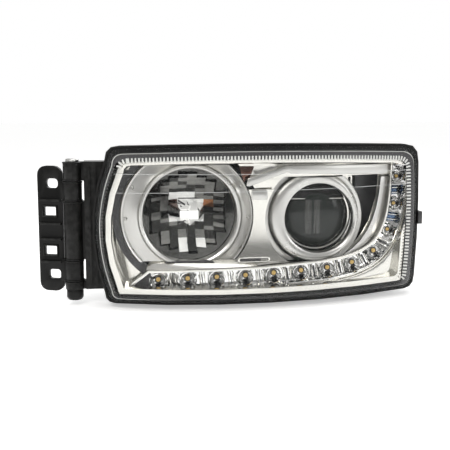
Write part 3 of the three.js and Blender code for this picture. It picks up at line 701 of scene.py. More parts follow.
# %%
# Motor screws and back ribs
SCREW_HEAD = [(0.0004, 0.0003), (0.0012, 0.0003), (0.0014, 0.0014), (0.0024, 0.0011),
              (0.0030, 0.0003), (0.0030, -0.001)]
screws = []
for x in (26, 58):
    for z in (-70, -40):
        head = spot(x, 178, z)
        screws.append(lathe([(radius, head.y + rise) for radius, rise in SCREW_HEAD], head, 20))
hand_over(join_all(screws), "motor_screws", LAMP_BODY, FINISHES["steel"])
RIBS = ((-110, 14, -68), (70, 226, -68), (-88, 18, 53), (70, 184, 53))  # left, right, height
ribs = [box((left, 149.2, z - 0.8), (right, 152.2, z + 0.8), 0.5) for left, right, z in RIBS]
hand_over(join_all(ribs), "housing_back_ribs", LAMP_BODY, FINISHES["black_plastic"])

# %% [markdown]
# ## Bezel
# The bezel is one large moulding, metallised on its front: a border that meets the lens, an inner
# wall and a recessed face. It keeps its CAD shape, with a generous moulded radius.

# %%
# Bezel and blade
refined("bezel", "bezel_shell", 0.9 * MM, segments=3)
refined("corner_blade", "corner_blade_face", 1.6 * MM, segments=4)
refined("drl_reflector_strip", "daytime_strip_tray", 0.4 * MM)

# %% [markdown]
# ## Strip border
# A proud moulded frame runs round the daytime lights and hides the joint between their tray and the
# bezel. It is a flat outline with a smaller one inside it, laid back on the swept face.

# %%
# Border round the daytime strip
border = plate([strip_outline(-2.2), strip_outline(0.7)], 6.5, 12.5, 0.5, 0.040)
hand_over(border, "daytime_strip_border", LAMP_BODY, FINISHES["chrome"])

# %% [markdown]
# ## High-beam ring
# The broad ring round the high beam is turned: a bright rolled lip at the opening, a shallow
# satin dish with six locating dimples, then a stepped outer flange. Its outer edge is set a little
# to the left of the opening. The top is trimmed by the lens edge and the bottom by the shelf.

# %%
# High-beam ring
OPENING = 0.0625
RING_FRONT = FACE_Y + 0.024
ring = lathe([
    (OPENING - 0.001, RING_FRONT + 0.014), (OPENING, RING_FRONT + 0.004),
    (OPENING + 0.0008, RING_FRONT + 0.0012), (OPENING + 0.0028, RING_FRONT),
    (OPENING + 0.0052, RING_FRONT + 0.0008), (OPENING + 0.0066, RING_FRONT + 0.0034),
    (OPENING + 0.0085, RING_FRONT + 0.0048), (0.0800, RING_FRONT + 0.0062, -0.002, 0),
    (0.0850, RING_FRONT + 0.0070, -0.0035, 0), (0.0854, RING_FRONT + 0.0020, -0.0035, 0),
    (0.0870, RING_FRONT + 0.0008, -0.004, 0), (0.0888, RING_FRONT + 0.0034, -0.004, 0),
    (0.0892, RING_FRONT + 0.0120, -0.004, 0), (0.0872, RING_FRONT + 0.0120, -0.004, 0),
    (0.0700, RING_FRONT + 0.0090), (OPENING + 0.002, RING_FRONT + 0.014),
    (OPENING - 0.001, RING_FRONT + 0.014)], HIGH, 128, closed=True)
DIMPLE_CIRCLE, DIMPLE_RADIUS, RING_SHIFT = 0.0815, 0.0026, -0.0035
for angle in (28, 152, 182, 206.5, 333.5, 358):
    lower = 190 < angle < 350
    x = HIGH.x + RING_SHIFT + DIMPLE_CIRCLE * math.cos(math.radians(angle))
    z = HIGH.z + DIMPLE_CIRCLE * math.sin(math.radians(angle)) * (1.25 if lower else 1.0)
    bpy.ops.object.select_all(action="DESELECT")
    bpy.ops.mesh.primitive_uv_sphere_add(
        segments=16, ring_count=8, radius=DIMPLE_RADIUS, location=(x, RING_FRONT + 0.0060, z))
    cut_away(ring, bpy.context.object)


def trim_above_below(obj, top, bottom):
    """Cuts a shell off level at two heights and closes the cuts."""
    alone(obj)
    bpy.ops.object.mode_set(mode="EDIT")
    for height, upper in ((top, True), (bottom, False)):
        bpy.ops.mesh.select_all(action="SELECT")
        bpy.ops.mesh.bisect(plane_co=(0, 0, height), plane_no=(0, 0, 1), use_fill=True,
                            clear_outer=upper, clear_inner=not upper)
    bpy.ops.object.mode_set(mode="OBJECT")


trim_above_below(ring, top=0.1900, bottom=0.0630)
hand_over(ring, "high_beam_ring", LAMP_BODY, FINISHES["satin_chrome"],
          ("high_beam_trim_ring",))

# %% [markdown]
# ## Gap beside the ring
# On the left the ring stands a little clear of the bezel. The gap is closed far back by a dark
# crescent, which keeps the ring's edge crisp.

# %%
# Dark crescent on the left of the ring
GAP_OUT, GAP_IN = 98, 84
crescent = [*arc(GAP_X, HIGH_Z, GAP_OUT, 112, 248, 34), *arc(GAP_X, HIGH_Z, GAP_IN, 248, 112, 34)]
gap = flat_outlines([crescent], 34.0, 35.5)
hand_over(gap, "ring_shadow_gap", LAMP_BODY, FINISHES["charcoal_plastic"])

# %% [markdown]
# ## Projector ring
# The projector's ring is broad on the left and narrow on the right: its opening is set to the right
# of its rim. The rows therefore shift as well as scale. A thin stepped lip runs round the outside.

# %%
# Projector ring
SHIFT = LOW.x - RING.x
FRONT = FACE_Y + 0.032
ring = lathe([
    (0.0470, FRONT + 0.010, SHIFT, -0.002), (0.0472, FRONT + 0.0040, SHIFT, -0.002),
    (0.0480, FRONT + 0.0012, SHIFT, -0.002), (0.0500, FRONT, SHIFT * 0.9, -0.0018),
    (0.0540, FRONT - 0.0008, SHIFT * 0.6, -0.001), (0.0580, FRONT - 0.0002, SHIFT * 0.35, -0.0005),
    (0.0612, FRONT + 0.0022, SHIFT * 0.15, 0), (0.0628, FRONT + 0.0056, SHIFT * 0.05, 0),
    (0.0650, FRONT + 0.0066, -0.0005, 0), (0.0690, FRONT + 0.0056, -0.001, 0),
    (0.0704, FRONT + 0.0062, -0.0015, 0), (0.0712, FRONT + 0.0080, -0.0015, 0),
    (0.0712, FRONT + 0.012, -0.0015, 0), (0.0670, FRONT + 0.012),
    (0.0600, FRONT + 0.0085), (0.0520, FRONT + 0.010, SHIFT * 0.8, -0.002),
    (0.0470, FRONT + 0.010, SHIFT, -0.002)], RING, 128, closed=True)
trim_above_below(ring, top=0.1722, bottom=0.0585)
hand_over(ring, "projector_ring", LAMP_BODY, FINISHES["satin_chrome"],
          ("projector_trim_ring",))

# %% [markdown]
# ## Projector lens and retainer
# The thick plano-convex lens looks almost black, because the bowl behind it is small and far back;
# that dark is painted shade, a near black glossy finish on the glass.
# A bright sprung ring holds it.

# %%
# Lens and its hoop
NOSE, RIM = FACE_Y + 0.042, FACE_Y + 0.056
LENS_RADIUS = 0.0440
rows = [(0.0005 + LENS_RADIUS * math.sin(math.radians(90 * k / 14)),
         RIM - (RIM - NOSE) * math.cos(math.radians(90 * k / 14))) for k in range(15)]
flange = LENS_RADIUS + 0.0015
# Painted shade: the glass takes the near black finish.
glass = lathe([*rows, (flange, RIM + 0.0005), (flange, RIM + 0.002)], LOW, 96)
hand_over(glass, "projector_glass", AIMED, EXTRA["lens_painted_shade"], ("projector_lens",), 50)
hoop = lathe([
    (0.0443, FACE_Y + 0.0518), (0.0452, FACE_Y + 0.0505), (0.0470, FACE_Y + 0.0500),
    (0.0492, FACE_Y + 0.0508), (0.0500, FACE_Y + 0.0525), (0.0500, FACE_Y + 0.0556),
    (0.0466, FACE_Y + 0.0556), (0.0466, FACE_Y + 0.0540), (0.0443, FACE_Y + 0.0540),
    (0.0443, FACE_Y + 0.0518)], LOW, 96, closed=True)
hand_over(hoop, "projector_retaining_hoop", AIMED, FINISHES["chrome"], ("lens_retainer",))

# %% [markdown]
# ## Visor and painted reflections
# A dark segment of plate shades the top of the lens and ends in a thin bright edge. Two grey
# upright bands on the glass are painted reflections of the bulb's two images. They are flat grids
# dropped onto the dome, which keeps them the same height above it all over.

# %%
# Visor, painted reflection bands and bright edge
VISOR_RADIUS, HALF_CHORD, GLOW_WIDTH = 45.5, 38.2, 8.5
visor = flat_outlines([list(arc(LOW_X, LOW_Z, VISOR_RADIUS, 32, 148, 20))], 46.0, 48.2)
soften(visor, 0.4 * MM)
hand_over(visor, "projector_visor", AIMED, FINISHES["black_plastic"])
# Painted reflections: two grey bands dropped onto the glass.
for label, left in (("left", 117.5), ("right", 129.5)):
    low, high = spot(left, 38, -25), spot(left + GLOW_WIDTH, 38, 22)
    band = flat_grid(6, 24, (low + high) / 2, high.x - low.x, high.z - low.z)
    drop_onto(band, glass, both_ways=True)
    modify(band, "SOLIDIFY", thickness=0.3 * MM, offset=0.0)
    hand_over(band, "projector_inner_glow_" + label, AIMED, EXTRA["painted_lens_reflection"])
edge = box((LOW_X - HALF_CHORD, 45.4, 23.2), (LOW_X + HALF_CHORD, 48.8, 24.3), 0.4)
hand_over(edge, "projector_visor_edge", AIMED, FINISHES["chrome"])

# %% [markdown]
# ## High-beam reflector
# The reflector is a deep parabola whose middle is broken into upright columns of flat facets that
# spread the beam. Seen from in front the facets mirror either the bright room or the dark inside
# of the lamp; their tones are painted reflections, dark, mid and light copies of one finish. The
# bowl comes first, on its own, a dark grey mirror of painted shade.

# %%
# Bowl
MOUTH, VERTEX, NECK = FACE_Y + 0.045, FACE_Y + 0.098, 0.014
FOCAL = 0.062**2 / (4 * (VERTEX - MOUTH))
depths = [MOUTH + (VERTEX - NECK**2 / (4 * FOCAL) - MOUTH) * k / 16 for k in range(17)]
wall = 0.0024
inner = [(math.sqrt(4 * FOCAL * (VERTEX - y)), y) for y in depths]
outer = [(radius + wall, y) for radius, y in reversed(inner)]
bowl = lathe([*inner, (NECK, VERTEX), (NECK + wall, VERTEX), *outer, inner[0]], HIGH, 96, closed=True)
# Painted shade: the bowl takes the dark grey mirror finish.
hand_over(bowl, "high_beam_bowl", AIMED, EXTRA["bowl_painted_shade"], ("high_beam_reflector",), 50)

# %% [markdown]
# ## Facets
# Each facet is one face of a grid. Its tone, a painted reflection, is chosen from a small chart, so
# that the bright block in the middle and the columns below it come out in the right places, and a few
# dark and mid facets are swapped by chance. The grid is then parted along its edges and dropped onto
# the bowl.

# %%
# Facet chart and grid
# Rows from the top down, each letter a painted reflection tone: d dark, m mid, l light, a amber,
# r dull red, . left as bare bowl
FACETS = [
    "..dmmmd.",
    ".mdmdmd.",
    "dmddddmd",
    "ddlllmmd",
    "dmrlllad",
    "dmmllmdd",
    "dmlllldd",
    "dddddddd",
    "dmdmdmdd",
    "dmdldlmd",
    ".mdldlm.",
]
COLUMNS, ROWS = len(FACETS[0]), len(FACETS)
FACET_W, FACET_H = 0.0124, 0.0107
FACET_REACH = 0.0585
SPLIT = 2  # each row is moulded as two shorter facets
SWAPPED, MIXED_ROWS = 0.3, 8  # share of the dark and mid facets that change places, and how far down

grid_w, grid_h = COLUMNS * FACET_W, ROWS * FACET_H
in_front = (HIGH.x, MOUTH - 0.004, HIGH.z)
grid = flat_grid(COLUMNS, ROWS * SPLIT, in_front, grid_w, grid_h)
# The facet materials are painted reflection tones: dark, mid, highlight, amber and dull red.
for key in ("facet_painted_dark", "facet_painted_mid", "facet_painted_highlight", "amber", "painted_red_reflection"):
    grid.data.materials.append(EXTRA[key])
drop = []
random.seed(11)
for polygon in grid.data.polygons:
    column = int((polygon.center.x - HIGH.x + grid_w / 2) / FACET_W)
    row = int((HIGH.z + grid_h / 2 - polygon.center.z) / FACET_H)
    tone = FACETS[row][column]
    corners = [grid.data.vertices[index].co for index in polygon.vertices]
    reach = max(math.hypot(corner.x - HIGH.x, corner.z - HIGH.z) for corner in corners)
    if tone == "." or reach > FACET_REACH:
        drop.append(polygon.index)
        continue
    if tone in "dm" and row < MIXED_ROWS and random.random() < SWAPPED:
        tone = "m" if tone == "d" else "d"
    polygon.material_index = "dmlar".index(tone)
alone(grid)
bpy.ops.object.mode_set(mode="EDIT")
mesh = bmesh.from_edit_mesh(grid.data)
mesh.faces.ensure_lookup_table()
for face in mesh.faces:
    face.select = face.index in drop
bmesh.update_edit_mesh(grid.data)
bpy.ops.mesh.delete(type="FACE")
bpy.ops.mesh.select_all(action="SELECT")
bpy.ops.mesh.edge_split(type="EDGE")
bpy.ops.object.mode_set(mode="OBJECT")
drop_onto(grid, bowl)
print("facets on the bowl", len(grid.data.polygons))

# %% [markdown]
# ## Turning the facets
# Facets that all followed the bowl would mirror the same light. Each one is nodded and turned by a
# few degrees about its own middle, all are lifted clear of the bowl, and they get their thickness.

# %%
# Facets turned and thickened
NOD, TURN = 0.10, 0.07  # largest turns, in radians
LIFT, FACET_THICK = 0.0022, 0.0012
random.seed(7)
alone(grid)
bpy.ops.object.mode_set(mode="EDIT")
for index in range(len(grid.data.polygons)):
    bpy.ops.mesh.select_all(action="DESELECT")
    mesh = bmesh.from_edit_mesh(grid.data)
    mesh.faces.ensure_lookup_table()
    face = mesh.faces[index]
    face.select = True
    centre = face.calc_center_median()
    bmesh.update_edit_mesh(grid.data)
    for axis, most in (("X", NOD), ("Z", TURN)):
        bpy.ops.transform.rotate(
            value=random.uniform(-most, most), orient_axis=axis, center_override=centre)
bpy.ops.mesh.select_all(action="SELECT")
bpy.ops.transform.translate(value=(0, -LIFT, 0))
bpy.ops.object.mode_set(mode="OBJECT")
modify(grid, "SOLIDIFY", thickness=FACET_THICK, offset=1.0)
soften(grid, 0.25 * MM, segments=1)
hand_over(grid, "high_beam_facets", AIMED, smooth=20)

# %% [markdown]
# ## Bulb shield
# A small turned cap in front of the bulb stops direct glare. It stands on a thin strut. The cap is
# given the light facets' painted highlight and glow, the strut their painted dark reflection, and four
# fine dark strips of painted shadow cross the space in front of it.

# %%
# Painted shadow strips, cap and strut
PAINTED_SHADOW_STRIPS = [
    [(-57, 25), (-37, 12), (-37, 9.5), (-57, 22)],
    [(-54, 17), (-35, 6), (-35, 4.5), (-54, 15)],
    [(-56, -8), (-44, -1), (-44, -2.5), (-54, -9.5)],
    [(-57, 27), (-31, 27), (-31, 25.5), (-57, 25.5)],
]
# Painted shadow: thin dark strips across the front of the shield.
painted_strips = [flat_outlines([points], 51.0, 51.5) for points in PAINTED_SHADOW_STRIPS]
hand_over(join_all(painted_strips), "bulb_shield_shadow_wires", AIMED,
          FINISHES["charcoal_plastic"])

cap = lathe([
    (0.0004, FACE_Y + 0.0540), (0.0060, FACE_Y + 0.0542), (0.0084, FACE_Y + 0.0552),
    (0.0094, FACE_Y + 0.0578), (0.0095, FACE_Y + 0.0660), (0.0083, FACE_Y + 0.0660),
    (0.0082, FACE_Y + 0.0590), (0.0004, FACE_Y + 0.0562)], HIGH, 48)
strut = box((HIGH_X - 0.8, 64, HIGH_Z - 44), (HIGH_X + 0.8, 65.2, HIGH_Z - 9), 0.3)
# The cap takes the facets' painted highlight and glow, the strut their painted dark reflection.
cap.data.materials.append(EXTRA["facet_painted_highlight"])
strut.data.materials.append(EXTRA["facet_painted_dark"])
shield = join_all([cap, strut])
hand_over(shield, "bulb_shield_cap", AIMED, stands_for=("bulb_shield",))

# %% [markdown]
# ## Shelf
# Below the high beam a sloping shelf closes the gap to the strip border and cuts the opening off
# level.

# %%
# Shelf below the high beam
shelf_points = [(-104, -70), (48, -66), (44, -55.5), (30, -54), (-90, -54), (-99, -57)]
shelf = flat_outlines([shelf_points], 10, 30)
for vertex in shelf.data.vertices:
    if vertex.co.y < FACE_Y + 0.015 and vertex.co.z > 0.058:
        vertex.co.y += 0.013
lay_back(shelf)
soften(shelf, 1.0 * MM, segments=3)
hand_over(shelf, "high_beam_shelf", LAMP_BODY, FINISHES["chrome"])

shade = plate([[(-74, -54.2), (-14, -54.2), (-11, -57.2), (-77, -57.2)]], 19.0, 21.5, 0.4)
hand_over(shade, "high_beam_shelf_shade", LAMP_BODY, FINISHES["charcoal_plastic"])

# %% [markdown]
# ## Panel between the rings
# Between the two rings lies a flat bright panel whose sides follow both circles, with a grey tab at
# its top and a thin slot at its foot.

# %%
# Panel cut to both circles, with its tab and its slot
panel = flat_outlines([[(12, -58), (96, -58), (96, 40), (12, 40)]], 19.5, 22.5)
for centre_x, centre_z, radius in ((GAP_X, HIGH_Z, 88.0), (126.5, LOW_Z, 69.6)):
    place = spot(centre_x, 20, centre_z)
    bpy.ops.object.select_all(action="DESELECT")
    bpy.ops.mesh.primitive_cylinder_add(
        vertices=128, radius=radius * MM, depth=0.06, location=place, rotation=(math.pi / 2, 0, 0))
    cut_away(panel, bpy.context.object)
soften(panel, 0.7 * MM)
hand_over(panel, "centre_panel_face", LAMP_BODY, FINISHES["chrome"], ("centre_panel",))
tab = plate([rounded(38, 26, 60, 39, 2.5)], 16.5, 19.4, 0.7)
hand_over(tab, "centre_panel_tab", LAMP_BODY, FINISHES["satin_chrome"])
slot_outlines = [rounded(20, -58, 64, -50.5, 3.5), rounded(22.5, -56.3, 62, -52.3, 1.9)]
slot_edge = plate(slot_outlines, 17.5, 19.4, 0.6)
hand_over(slot_edge, "panel_slot_rim", LAMP_BODY, FINISHES["chrome"])
slot_floor = plate([rounded(22.2, -56.6, 62.3, -52.0, 2.0)], 18.6, 19.3, 0.1)
hand_over(slot_floor, "panel_slot_floor", LAMP_BODY, FINISHES["charcoal_plastic"])

# %% [markdown]
# ## Top bar
# A bar runs under the top edge and ends in a point beside a corner plate painted with a dull red
# reflection. A small angled clip holds the shroud.

# %%
# Bar, corner plate with a painted red reflection, and angled clip
# Painted reflection: the corner plate is dull red metal for a red reflection.
corner = plate([[(22, 70), (42, 70), (37, 57), (28, 50)]], 21, 24, 0.4)
hand_over(corner, "bar_corner_painted_red_reflection", LAMP_BODY, EXTRA["painted_red_reflection"])
bar = plate([[(241.5, 70.5), (84, 71.5), (32, 55.5), (29.5, 45.5), (34, 44.5), (86, 63), (92, 60.8),
              (240.5, 55.8)]], 10.5, 14, 1.4)
hand_over(bar, "top_bar_face", LAMP_BODY, FINISHES["satin_chrome"])
bracket = plate([[(174, 55), (187, 55), (187, 35), (184.5, 37), (184.5, 52), (174, 52)]], 32, 34, 0.4)
hand_over(bracket, "shroud_angle_clip", LAMP_BODY, FINISHES["chrome"])

# %% [markdown]
# ## Daytime lights
# Each daytime light is a small mirrored cup with a lamp chip set towards the inner edge of the
# strip. Flat cup facets make the radial sparkle. The cup is modelled once for each size and copied
# along the strip at an even pitch.

# %%
# Daytime lights
def strip_path():
    """Places and headings along the middle of the strip, finely stepped, in face millimetres."""
    straight = [(-86 + 191 * k / 60, -82.5 + 8 * k / 60) for k in range(60)]
    bend = [*bezier((105, -74.5), (218, -72), (255, -66), (257, 69), 160), (257, 69)]
    return straight + bend


PATH = strip_path()
PITCH = 38.7


def along(distance):
    """The point and the heading at a distance along the path."""
    run = 0.0
    for (x0, z0), (x1, z1) in zip(PATH, PATH[1:]):
        step = math.hypot(x1 - x0, z1 - z0)
        if run + step >= distance:
            t = (distance - run) / step
            return x0 + (x1 - x0) * t, z0 + (z1 - z0) * t, math.atan2(z1 - z0, x1 - x0)
        run += step
    return (*PATH[-1], math.pi / 2)


def light_cup(radius):
    """Cup, dark seat and chip, made at the origin and facing -Y."""
    origin = Vector((0, 0, 0))
    r = radius * MM
    up = r * 0.34  # the chip sits this far towards the inner edge
    cup = lathe([
        (r * 0.30, 0.0105), (r * 0.55, 0.0088), (r * 0.80, 0.0052), (r * 0.93, 0.0004),
        (r * 0.98, -0.0004), (r, 0.0004), (r, 0.0100), (r * 0.35, 0.0125)], origin, 20)
    cup.data.materials.append(FINISHES["mirror_coat"])
    seat = lathe([(r * 0.44, 0.0050, 0, up), (r * 0.46, 0.0030, 0, up),
                  (r * 0.40, 0.0024, 0, up), (r * 0.20, 0.0030, 0, up)], origin, 20)
    seat.data.materials.append(FINISHES["charcoal_plastic"])
    chip = lathe([(r * 0.28, 0.0032, 0, up), (r * 0.28, 0.0018, 0, up), (r * 0.20, 0.0014, 0, up)],
                 origin, 14)
    chip.data.materials.append(EXTRA["ochre"])
    return join_all([cup, seat, chip])


LIGHTS, LARGE_LIGHTS = 12, 9
LARGE, SMALL = 10.5, 8.5
LIGHT_DEPTH = 12.5
cups = {LARGE: light_cup(LARGE), SMALL: light_cup(SMALL)}
for index in range(LIGHTS):
    node_name = "drl_lens_%02d" % (index + 1)
    x, z, heading = along(index * PITCH)
    piece = twin(cups[LARGE if index < LARGE_LIGHTS else SMALL])
    place = spot(x, LIGHT_DEPTH, z)
    place.y += sweep(place.x)
    piece.matrix_world = Matrix.Translation(place) @ Matrix.Rotation(-heading, 4, "Y")
    hand_over(piece, "daytime_light_%02d" % (index + 1), LAMP_BODY,
              stands_for=(node_name,), smooth=12)
for cup in cups.values():
    bpy.data.objects.remove(cup, do_unlink=True)

# %% [markdown]
# ## Fins, slits and tinted plates
# Between two lights stand two thin bright fins with a dark slit between them, slanted a little.
# From the fifth gap on the slits are wider, and in the last two gaps a blue tinted plate takes
# their place.

# %%
# Fins, slits and tints between the cells
SLANT, FIN_DEPTH, CELL_HEIGHT = 0.12, 5.0, 0.0165
fins, slits, tints = [], [], []
for index in range(LIGHTS - 1):
    x, z, heading = along((index + 0.5) * PITCH)
    place = spot(x, 14.5, z)
    place.y += sweep(place.x)
    turn = Matrix.Translation(place) @ Matrix.Rotation(-heading - SLANT, 4, "Y")
    for offset, width, group, depth in ((-3.6, 1.2, fins, FIN_DEPTH), (3.4, 1.2, fins, FIN_DEPTH),
                                        (0.0, 2.6 if index > 3 else 0.8, slits, 1.0)):
        if group is slits and index > 8:
            group, width = tints, 12.0
        bpy.ops.object.select_all(action="DESELECT")
        bpy.ops.mesh.primitive_cube_add(
            size=1, location=(0, 0, 0), scale=(width * MM, depth * MM, CELL_HEIGHT))
        part = bpy.context.object
        bpy.ops.object.transform_apply(location=True, rotation=True, scale=True)
        soften(part, 0.3 * MM)
        sunk = (depth - FIN_DEPTH) * MM * -0.4
        part.matrix_world = turn @ Matrix.Translation((offset * MM, sunk, 0))
        bpy.ops.object.transform_apply(location=True, rotation=True, scale=True)
        group.append(part)
hand_over(join_all(fins), "daytime_cell_fins", LAMP_BODY, FINISHES["chrome"])
hand_over(join_all(slits), "daytime_cell_slits", LAMP_BODY,
          FINISHES["charcoal_plastic"])
hand_over(join_all(tints), "daytime_cell_tints", LAMP_BODY, EXTRA["blue_tint"])

# %% [markdown]
# ## End pocket
# The strip runs out to a point on the left. Three dark steps, one behind the other, fill the point.

# %%
# Stepped dark pocket at the pointed left end of the strip
steps = [plate([[(-128 + 7 * k, -94.5 + 0.3 * k), (-102, -72 - 6.5 * k), (-98, -72 - 6.5 * k),
                 (-98, -92.6)]], 15 + 1.6 * k, 16.4 + 1.6 * k, 0.3) for k in (2, 1, 0)]
hand_over(join_all(steps), "daytime_end_pocket", LAMP_BODY,
          FINISHES["charcoal_plastic"])

# %% [markdown]
# ## Corner panel
# Outside the bend of the strip a smooth metallised panel rises to the lens edge. A fine crease
# crosses it.

# %%
# Corner panel and crease
bend = list(bezier((105, -89.3), (223, -87), (271.8, -70), (271.6, 69), 22))[1:]
corner_points = [(60, -90.4), *bend, (271.6, 60), (272.5, 0), (268, -80), (256, -93), (60, -95)]
panel = plate([corner_points], 3.5, 6.5, 0.6, 0.010)
hand_over(panel, "corner_panel", LAMP_BODY, FINISHES["chrome"])
crease_points = [(172, -92.0), (215, -89.3), (259, -86.2), (259, -85.0), (214, -87.2), (172, -91.2)]
crease = plate([crease_points], 1.8, 4, 0.35)
hand_over(crease, "corner_crease", LAMP_BODY, EXTRA["violet_tint"])

# %% [markdown]
# ## Clear lens and its fluted edge
# The outer lens is one clear moulding that curves back at its rim. The rim carries fine upright
# flutes at an even pitch, which hide the glue line. Their tones are painted: against the black rim
# they are dark grey, painted shade, and over the bright border near white, painted highlight. One
# flute is modelled and copied round the rim in two rows, a fine one in painted shade outside and a
# coarser one in painted highlight inside.

# %%
# Lens shell and the outline of its rim
refined("lens_cover", "lens_shell", 0.9 * MM, segments=3, smooth=45.0)

CORNERS = [(-154, 98), (289.5, 97), (287.5, -111), (-157, -112)]
ROUNDING = (20, 26, 18, 14)
BOW = (3.5, 3.0, 0.6, 16.0)
INWARD = ((1, -1), (-1.5, -1), (-1.5, 1), (1, 1))


def rim_outline(inset, side_steps=24, corner_steps=8):
    """The rim outline brought inwards: bowed sides joined by rounded corners, clockwise."""
    points = []
    corners = [Vector((x + sx * inset, z + sz * inset)) for (x, z), (sx, sz) in zip(CORNERS, INWARD)]
    pulls = [max(3.0, radius - 0.4 * inset) for radius in ROUNDING]
    for side in range(4):
        here, there, beyond = (corners[(side + k) % 4] for k in range(3))
        along_side, turn = (there - here).normalized(), pulls[(side + 1) % 4]
        start, end = here + along_side * pulls[side], there - along_side * turn
        outward = Vector((-along_side.y, along_side.x))
        control = (start + end) / 2 + outward * 2 * BOW[side]
        points += [curve_point(start, control, end, k / side_steps) for k in range(side_steps)]
        leave = there + (beyond - there).normalized() * turn
        points += [curve_point(end, there, leave, k / corner_steps) for k in range(corner_steps)]
    return points


def curve_point(start, control, end, t):
    return start * (1 - t) ** 2 + control * 2 * t * (1 - t) + end * t * t


def evenly(points, pitch):
    """Places at an even pitch round a closed outline, each with the direction pointing inwards."""
    left = 0.0
    for here, there in zip(points, points[1:] + points[:1]):
        run = (there - here).length
        line = (there - here).normalized()
        while left < run:
            yield here + line * left, Vector((line.y, -line.x))
            left += pitch
        left -= run


# %% [markdown]
# ## Flutes
# A flute is a soft bar. It is copied at an even pitch round an inset of the rim, turned to point
# inwards and leaned back with the skirt of the lens.

# %%
# Rows of flutes
FLUTE_PITCH = 4.5


def flute():
    """One ridge of the lens rim, lying along +Z inwards, made at the origin."""
    bpy.ops.object.select_all(action="DESELECT")
    bpy.ops.mesh.primitive_cube_add(size=1, location=(0, 0, 0), scale=(0.0021, 0.0016, 0.0115))
    obj = bpy.context.object
    bpy.ops.object.transform_apply(location=True, rotation=True, scale=True)
    soften(obj, 0.5 * MM, segments=1)
    return obj


pattern = flute()


def flute_row(inset, depth, lean, length, keep):
    """One row of flutes round the rim where keep allows."""
    row = []
    for point, inward in evenly(rim_outline(inset), FLUTE_PITCH):
        if not keep(point):
            continue
        place = spot(point.x, depth, point.y)
        place.y += sweep(place.x)
        copy = twin(pattern)
        copy.matrix_world = (
            Matrix.Translation(place) @ Matrix.Rotation(math.atan2(inward.x, inward.y), 4, "Y")
            @ Matrix.Rotation(math.radians(lean), 4, "X") @ Matrix.Diagonal((1, 1, length, 1)))
        row.append(copy)
    return join_all(row)


# Painted shade: the outer row is dark grey.
outer_row = flute_row(12.2, -6.6, 40.0, 0.30, lambda point: point.y > -96)
hand_over(outer_row, "lens_flute_row_painted_shade", LAMP_BODY, EXTRA["flute_painted_shade"])
# Painted highlight: the inner row is near white, kept along the top on the left and everywhere but the
# foot on the right.
inner_row = flute_row(17.8, -11.5, 0.0, 0.52, lambda point: point.y > (72 if point.x < 200 else -92))
hand_over(inner_row, "lens_flute_row_painted_highlight", LAMP_BODY, EXTRA["flute"])
bpy.data.objects.remove(pattern, do_unlink=True)

# %% [markdown]
# ## Glue line, painted rim highlight and mould lines
# Behind the flutes lies the dark glue line, which thins out on the left and along the foot. In front
# of it a thin near white strip follows the rim, a painted highlight on the lens edge, and two faint
# lines cross the lens where the halves of its mould met; their pale colour is a painted highlight.

# %%
# Glue line, painted rim highlight and mould lines
LEFT_SIDE, FOOT = -100, -80


def glue_edge(point):
    """The glue line's inner edge, drawn outwards on the left and along the foot."""
    out = 8 if point.x < LEFT_SIDE else 0
    down = 7.5 if point.y < FOOT else 0
    return Vector((point.x - out, point.y - down))


inner_edge = [glue_edge(point) for point in rim_outline(19.2)]
dark = plate([rim_outline(10.8), inner_edge], -8.6, -7.8, 0.2)
hand_over(dark, "lens_glue_line", LAMP_BODY, FINISHES["charcoal_plastic"])
# Painted highlight: a thin near white strip along the lens edge.
painted_edge_highlight = plate([rim_outline(9.4), rim_outline(10.3)], -4.7, -3.6, 0.3)
hand_over(painted_edge_highlight, "lens_rim_bead", LAMP_BODY, EXTRA["flute"])
# The mould lines are real; their pale colour is a painted highlight.
for label, left_z, right_z in (("upper", 62.5, 62.0), ("lower", 38.0, 43.0)):
    line = plate([[(-142, left_z), (262, right_z), (262, right_z + 0.5), (-142, left_z + 0.5)]],
                 -12.25, -11.7, 0.15)
    hand_over(line, "lens_mould_line_" + label, LAMP_BODY, EXTRA["mould_line_painted_highlight"])

# %% [markdown]
# ## Studio
# A plain pale floor and a white room. Chrome needs something to mirror, so the room is banded from
# dark at the floor to bright overhead, and only the camera sees it as plain white.

# %%
# Floor and world
bpy.ops.object.select_all(action="DESELECT")
bpy.ops.mesh.primitive_plane_add(size=30, location=(0, 0, -0.0006))
floor = bpy.context.object
floor.name = "studio_floor"
pale = finish("pale floor", (0.95, 0.95, 0.95), 0.7, bump=0.0, shade=0.99, dust=0.0)
pale_inputs = pale.node_tree.nodes["Principled BSDF"].inputs
pale_inputs["Emission Color"].default_value = (1, 1, 1, 1)
pale_inputs["Emission Strength"].default_value = 0.42
floor.data.materials.append(pale)

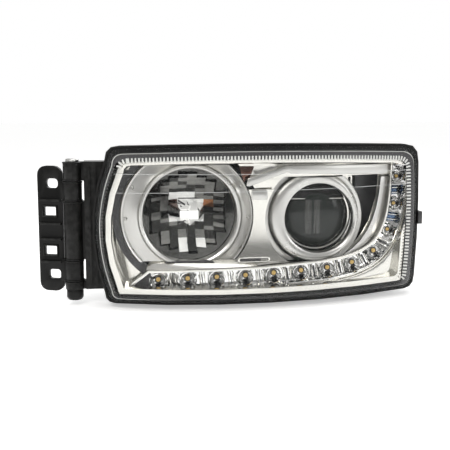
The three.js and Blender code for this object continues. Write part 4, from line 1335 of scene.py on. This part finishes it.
world = bpy.data.worlds.new("studio")
world.use_nodes = True
bpy.context.scene.world = world
tree = world.node_tree
background = tree.nodes["Background"]
direction = node(tree, "ShaderNodeTexCoord").outputs["Generated"]
height = node(tree, "ShaderNodeSeparateXYZ", {"Vector": direction}).outputs["Z"]
room = node(tree, "ShaderNodeValToRGB", {"Fac": ramp(tree, height, -1.0, 1.0)})
room.color_ramp.elements[0].color = (0.10, 0.10, 0.10, 1)
room.color_ramp.elements[1].color = (0.55, 0.55, 0.55, 1)
for place, value in ((0.46, 0.10), (0.53, 0.24), (0.59, 0.52), (0.66, 0.28), (0.76, 0.78)):
    room.color_ramp.elements.new(place).color = (value, value, value * 0.99, 1)
camera_ray = node(tree, "ShaderNodeLightPath").outputs["Is Camera Ray"]
seen = blend(tree, camera_ray, room.outputs["Color"], (1.0, 1.0, 1.0))
tree.links.new(seen, background.inputs["Color"])
background.inputs["Strength"].default_value = 1.0
print("floor and room ready")

# %% [markdown]
# ## Lights and camera
# Four large soft lights stand round the lamp and all aim at its middle. The camera looks slightly
# down on it, from a little to the left.

# %%
# Lights and camera
LIT_SPOT = Vector((-0.02, -0.05, 0.12))


def soft_light(name, place, size, power, colour=(1, 1, 1)):
    light = bpy.data.lights.new(name, "AREA")
    light.shape = "RECTANGLE"
    light.size, light.size_y = size
    light.energy = power
    light.color = colour
    obj = bpy.data.objects.new(name, light)
    bpy.context.scene.collection.objects.link(obj)
    obj.location = place
    obj.rotation_euler = (LIT_SPOT - obj.location).to_track_quat("-Z", "Y").to_euler()


soft_light("key", (-0.9, -1.5, 1.5), (1.0, 0.7), 15, (1.0, 0.985, 0.95))
soft_light("fill", (1.5, -1.2, 0.7), (0.7, 0.9), 5)
soft_light("top", (0.1, -0.1, 1.9), (1.4, 1.0), 10)
soft_light("back", (0.3, 1.7, 1.2), (1.4, 0.8), 10)

AZIMUTH, ELEVATION, DISTANCE = math.radians(-8), math.radians(8), 1.04
TARGET = Vector((-0.042, -0.082, 0.118))
away = Vector((math.sin(AZIMUTH) * math.cos(ELEVATION), -math.cos(AZIMUTH) * math.cos(ELEVATION),
               math.sin(ELEVATION)))
camera = bpy.data.objects.new("camera", bpy.data.cameras.new("camera"))
bpy.context.scene.collection.objects.link(camera)
camera.location = TARGET + away * DISTANCE
camera.rotation_euler = (-away).to_track_quat("-Z", "Y").to_euler()
camera.data.lens, camera.data.sensor_width = 64, 36
camera.data.shift_y = -0.0067
bpy.context.scene.camera = camera
bpy.context.scene.view_settings.view_transform = "Standard"
